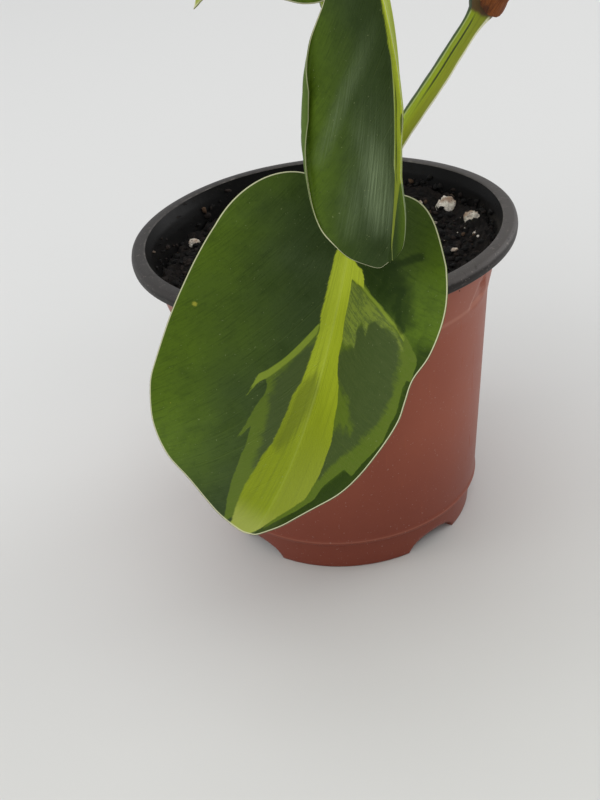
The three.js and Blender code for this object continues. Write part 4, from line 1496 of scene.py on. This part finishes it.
def leafMaterial():
    shader = Shader("brasil leaf", Roughness=0.4, Specular_IOR_Level=0.12)
    colours = {name: tone(*value) for name, value in leafColours.items()}
    along = shader.attribute("leafAlong")
    across = shader.attribute("leafAcross")
    away = shader.absolute(across)
    vein = shader.attribute("vein")
    edge = shader.attribute("edge")
    place = shader.place()
    streak = shader.noise(shader.vector(vein * 110, away * 7, 0.0), 1.0, 4, 0.7)
    fanStreak = shader.noise(shader.vector(shader.attribute("fan") * 75, along * 3, 4.0), 1.0, 3, 0.7)
    broad = shader.noise(place, 45, 3)
    mottle = shader.noise(place, 330, 4, 0.65)
    blotch = shader.noise(place, 140, 4, 0.6)
    speckle = shader.noise(place, 900, 3, 0.7)
    jag = (streak - 0.5) * 2.2 + (mottle - 0.5) * 0.8
    # painted sheen makes the green ground greyer near the midrib, and it is brighter towards the margin
    outward = shader.step(away + (broad - 0.5) * 0.7, 0.2, 0.95)
    base = shader.mix(outward, colours["sheen"], colours["green"])
    base = shader.mix(shader.step(streak, 0.45, 0.8) * 0.5, base, colours["deep"])
    base = shader.mix(shader.step(blotch, 0.45, 0.75) * 0.35, base, colours["deep"])
    base = shader.mix(shader.step(speckle, 0.5, 0.75) * 0.25, base, colours["deep"])
    base = shader.mix(shader.step(1 - streak, 0.55, 0.8) * 0.12, base, colours["patch"])
    # painted shade and shadow over the dark outlines
    paintedShade = shader.step(shader.attribute("paintedShade") + (blotch - 0.5) * 6, -3.0, 1.5)
    base = shader.mix(paintedShade * 0.8, base, colours["deep"])
    # the patch beside the streak, with its darker grey heart and its light, feathered rim
    patch = shader.step(shader.attribute("patch") + jag * 0.4, -0.1, 0.15)
    heart = shader.step(shader.attribute("core") + (blotch - 0.5) * 7 + jag * 1.4, -1.2, 1.2)
    patchTone = shader.mix(shader.step(streak, 0.4, 0.7) * 0.5, colours["patch"], colours["green"])
    coreTone = shader.mix(shader.step(streak, 0.35, 0.65) * 0.5, colours["core"], colours["sheen"])
    base = shader.mix(patch, base, patchTone)
    base = shader.mix(heart * patch * 0.9, base, coreTone)
    band = shader.step(shader.attribute("band") + jag * 1.3, -0.3, 0.5)
    bandStreak = shader.step(streak + (speckle - 0.5) * 0.3, 0.4, 0.62)
    bandTone = shader.mix(bandStreak, colours["band"], colours["bandDark"])
    base = shader.mix(band * 0.9, base, bandTone)
    outline = shader.step(shader.attribute("outline") + jag * 0.25, -0.1, 0.25)
    base = shader.mix(outline * 0.75, base, colours["outline"])
    # the lime streak, whose brighter top is partly painted light
    lime = shader.step(shader.attribute("lime") + jag * 0.5, -0.15, 0.35)
    limeTone = shader.mix(shader.step(along, 0.05, 0.25), colours["limeTop"], colours["lime"])
    limeTone = shader.mix(shader.step(along + (broad - 0.5) * 0.3, 0.35, 0.75), limeTone, colours["limeLow"])
    limeTone = shader.mix(shader.step(fanStreak, 0.42, 0.72) * 0.4, limeTone, colours["olive"])
    limeTone = shader.mix(shader.step(along, 0.9, 1.0) * 0.7, limeTone, colours["limeTip"])
    smear = shader.step(shader.attribute("smear") + (fanStreak - 0.5) * 3, -1.5, 1.2)
    limeTone = shader.mix(smear * 0.7, limeTone, colours["olive"])
    # painted light: low down, the half that leans away from the light is made paler
    paler = shader.fade(across, -0.04, 0.02) * shader.step(along, 0.5, 0.85)
    limeTone = shader.mix(paler * 0.3, limeTone, colours["limeTip"])
    base = shader.mix(lime, base, limeTone)
    thread = shader.step(shader.attribute("thread"), -0.1, 0.3)
    base = shader.mix(thread * 0.8, base, colours["deep"])
    ribGap = shader.absolute(shader.attribute("ribGap"))
    rib = shader.attribute("rib") * shader.fade(ribGap, 0.15, 0.42)
    base = shader.mix(rib * (1 - lime * 0.3), base, colours["rib"])
    # side veins, painted sheen, painted shade along wrinkles, fine flecks and the cream margin
    ripple = shader.maths("PINGPONG", vein * 8 + (broad - 0.5) * 0.3, 0.5)
    sideVein = shader.fade(ripple, 0.0, 0.04) * shader.step(broad, 0.35, 0.6)
    base = shader.mix(sideVein * (1 - lime) * 0.04, base, colours["band"])
    # the pale streaks are a painted sheen
    pale = shader.attribute("pale") * (1 - lime)
    base = shader.mix(pale * (0.25 + shader.step(fanStreak, 0.35, 0.7) * 0.5), base, colours["pale"])
    # painted shade along the wrinkles
    wrinkleShade = shader.attribute("wrinkleShade") + (mottle - 0.5) * 0.8
    base = shader.mix(shader.fade(wrinkleShade, 0.4, 1.5) * 0.75, base, colours["deep"])
    fleck = shader.step(shader.noise(place, 1700, 1), 0.73, 0.78)
    base = shader.mix(fleck * 0.25, base, tone(160, 170, 120))
    spot = shader.fade(shader.attribute("spot") + (speckle - 0.5) * 0.8, 0.4, 1.0)
    base = shader.mix(spot * 0.8, base, tone(168, 164, 60))
    cream = shader.fade(edge, 0.1, 0.24)
    base = shader.mix(cream * 0.9, base, colours["cream"])
    underside = shader.step(shader.attribute("underside"), 0.55, 0.6)
    base = shader.mix(underside * (0.55 - lime * 0.35), base, colours["under"])
    rough = 0.33 + mottle * 0.14 + streak * 0.08
    relief = streak * 0.4 + mottle * 0.3 + blotch * 0.6 - sideVein * 0.1
    return shader.wear(base, rough, shader.bump(relief, 0.5, 0.0006))


# Rolled new leaf and dry sheath

rolled = {
    "path": [(54.9, 9.05, 206.3), (53, 9, 222), (52, 7, 238), (54, 5, 252)],
    "radius": (0.5, 2.3),
    "overlap": 0.16,
    "twist": 1.6,
    "rows": 90,
    "sides": 44,
}


def makeRolledLeaf(material):
    rows, sides = rolled["rows"], rolled["sides"]
    path, _ = smoothCurve(rolled["path"], rows)
    share = np.linspace(0, 1, rows)
    thin, swell = rolled["radius"]
    radii = thin + swell * np.sin(math.pi * np.minimum(1, share + 0.12)) ** 0.8 * (1 - 0.55 * share)
    # each ring is a spiral that ends in a step, the margin of the rolled blade
    step = np.arange(sides) / sides
    turn = fullTurn(sides) + rolled["twist"] * share[:, None]
    size = radii[:, None] * (1.03 - rolled["overlap"] * step)
    points = tubePoints(path, framesAlong(path), size, turn)
    faces = tubeFaces(rows, sides)
    attributes = {
        "around": np.append(np.tile(step, rows), (0, 0)),
        "along": np.append(np.repeat(share, sides), (0, 1)),
    }
    replaced = ["new_leaf_rolled"]
    piece = makePiece("new_leaf_roll", points, faces, [material], replaced, attributes)
    piece.data.set_sharp_from_angle(angle=math.radians(50))


def rolledMaterial():
    shader = Shader("rolled leaf", Roughness=0.4, Specular_IOR_Level=0.5)
    around = shader.attribute("around")
    along = shader.attribute("along")
    streak = shader.noise(shader.vector(around * 30, along * 3, 0.0), 1.0, 4)
    base = shader.mix(shader.step(streak, 0.35, 0.65), tone(128, 148, 52), tone(96, 120, 40))
    wavy = around + streak * 0.2
    stripe = shader.step(wavy, 0.3, 0.42) * shader.fade(wavy, 0.62, 0.74)
    base = shader.mix(stripe * 0.8, base, tone(176, 190, 74))
    margin = shader.fade(around, 0.01, 0.05)
    base = shader.mix(margin * 0.8, base, tone(214, 208, 150))
    base = shader.mix(shader.step(along, 0.9, 1.0) * 0.6, base, tone(150, 130, 70))
    return shader.wear(base, 0.36 + streak * 0.15, shader.bump(streak, 0.3, 0.0003))


sheath = {
    "base": (51.6, -1.4, 148.2),
    "bend": (54.6, -1.6, 153.5),
    "tip": (59.0, -3.2, 158.5),
    "faceAtBase": (-0.45, 0.75, 0.45),
    "faceAtTip": (-0.6, 0.6, 0.5),
    "fold": (2, 2),
    "curl": (-95, -95),
    "halfWidth": 8,
    "right": [(1, 0), (0.95, 0.35), (0.85, 0.8), (0.45, 0.93), (0.14, 0.8), (-0.05, 0.42), (-0.06, 0)],
    "left": [
        (1, 0), (1.0, 0.35), (0.97, 0.8), (0.8, 0.95), (0.55, 0.8), (0.3, 0.55), (0.08, 0.3), (-0.06, 0),
    ],
    "wave": (0.3, 4, 0),
    "thickness": 0.42,
    "perSide": 60,
    "rings": 22,
    "ragged": 0.1,
    "crumple": 0.5,
}


def makeSheath(material):
    blade = Blade(sheath)
    rings = sheath["rings"]
    shares = np.linspace(0, 1, rings + 1)[1:]
    margin, flat = ringedPoints(blade, sheath["perSide"], shares)
    away = np.append(0, np.repeat(shares, len(margin)))
    ragged = noiseAt(np.insert(flat, 2, 0, axis=1), (0.9, 0.9, 0), (0, 0, 4))
    flat = flat * (1 + sheath["ragged"] * ragged * away ** 6)[:, None]
    crumple = noiseAt(np.insert(flat, 2, 0, axis=1), (0.35, 0.8, 0), (0, 0, 1))
    lift = sheath["crumple"] * crumple * softStep(0.1, 0.5, away)
    top, bottom = (blade.point(*flat.T, lift - depth) for depth in (0, sheath["thickness"]))
    faces = bladeFaces(rings, len(margin), False)
    along, across = np.tile(flat / blade.scale, (2, 1)).T
    attributes = {"along": along, "across": across}
    points = np.vstack([top, bottom])
    makePiece("dry_sheath", points, faces, [material], ["dried_sheath"], attributes)


def huskMaterial():
    shader = Shader("dry husk", Roughness=0.7, Specular_IOR_Level=0.3)
    place = shader.place()
    along = shader.attribute("along")
    across = shader.attribute("across")
    fibres = shader.noise(shader.vector(across * 26, along * 2.5, 0.0), 1.0, 4, 0.7)
    blotch = shader.noise(place, 240, 3)
    base = shader.mix(shader.step(fibres, 0.35, 0.7), tone(150, 84, 34), tone(96, 46, 20))
    base = shader.mix(shader.step(blotch, 0.5, 0.7) * 0.7, base, tone(60, 36, 26))
    base = shader.mix(shader.step(along, 0.7, 1.0) * 0.3, base, tone(178, 112, 54))
    return shader.wear(base, 0.55 + fibres * 0.3, shader.bump(fibres, 0.7, 0.0006))


# Floor

table = {
    "reach": 6,
    # the near colours are darker than the far colour: painted shade
    "nearColours": ((208, 208, 204), (212, 212, 208)),
    "farColour": (218, 218, 216),
    "farFrom": (-0.16, 0.1),
}


def makeFloor():
    reach = table["reach"]
    corners = [(-reach, -reach, 0), (reach, -reach, 0), (reach, reach, 0), (-reach, reach, 0)]
    mesh = bpy.data.meshes.new("floor")
    mesh.from_pydata(corners, [], [(0, 1, 2, 3)])
    floor = bpy.data.objects.new("floor", mesh)
    bpy.context.scene.collection.objects.link(floor)
    shader = Shader("pale table", Roughness=0.6, Specular_IOR_Level=0.3)
    place = shader.place()
    first, second = table["nearColours"]
    # painted shade: the floor is darker near the camera than far away
    near = shader.mix(shader.noise(place, 5, 2), tone(*first), tone(*second))
    far = shader.step(shader.coordinate(place, 1), *table["farFrom"])
    mesh.materials.append(shader.wear(shader.mix(far, near, tone(*table["farColour"]))))


makeCamera()
makeLights()
makeFloor()
print("stage set")

nurseryPot = makePotMesh([potBodyMaterial(), potLipMaterial(), potInsideMaterial()])
cutDrains(nurseryPot)
nurseryPot.data.set_sharp_from_angle(angle=math.radians(55))
print("pot made")

makeSoil(soilMaterial())
makeCrumbs(crumbMaterial())
makePerlite(perliteMaterial())
print("soil made")

stemGreen = stemMaterial()
for vine in vines:
    makeVine(vine, stemGreen)
leafGreen = leafMaterial()
for number, leaf in enumerate(leaves):
    makePetiole(leaf, makeLeaf(leaf, number, leafGreen), stemGreen)
makeRolledLeaf(rolledMaterial())
makeSheath(huskMaterial())
print("plant made")
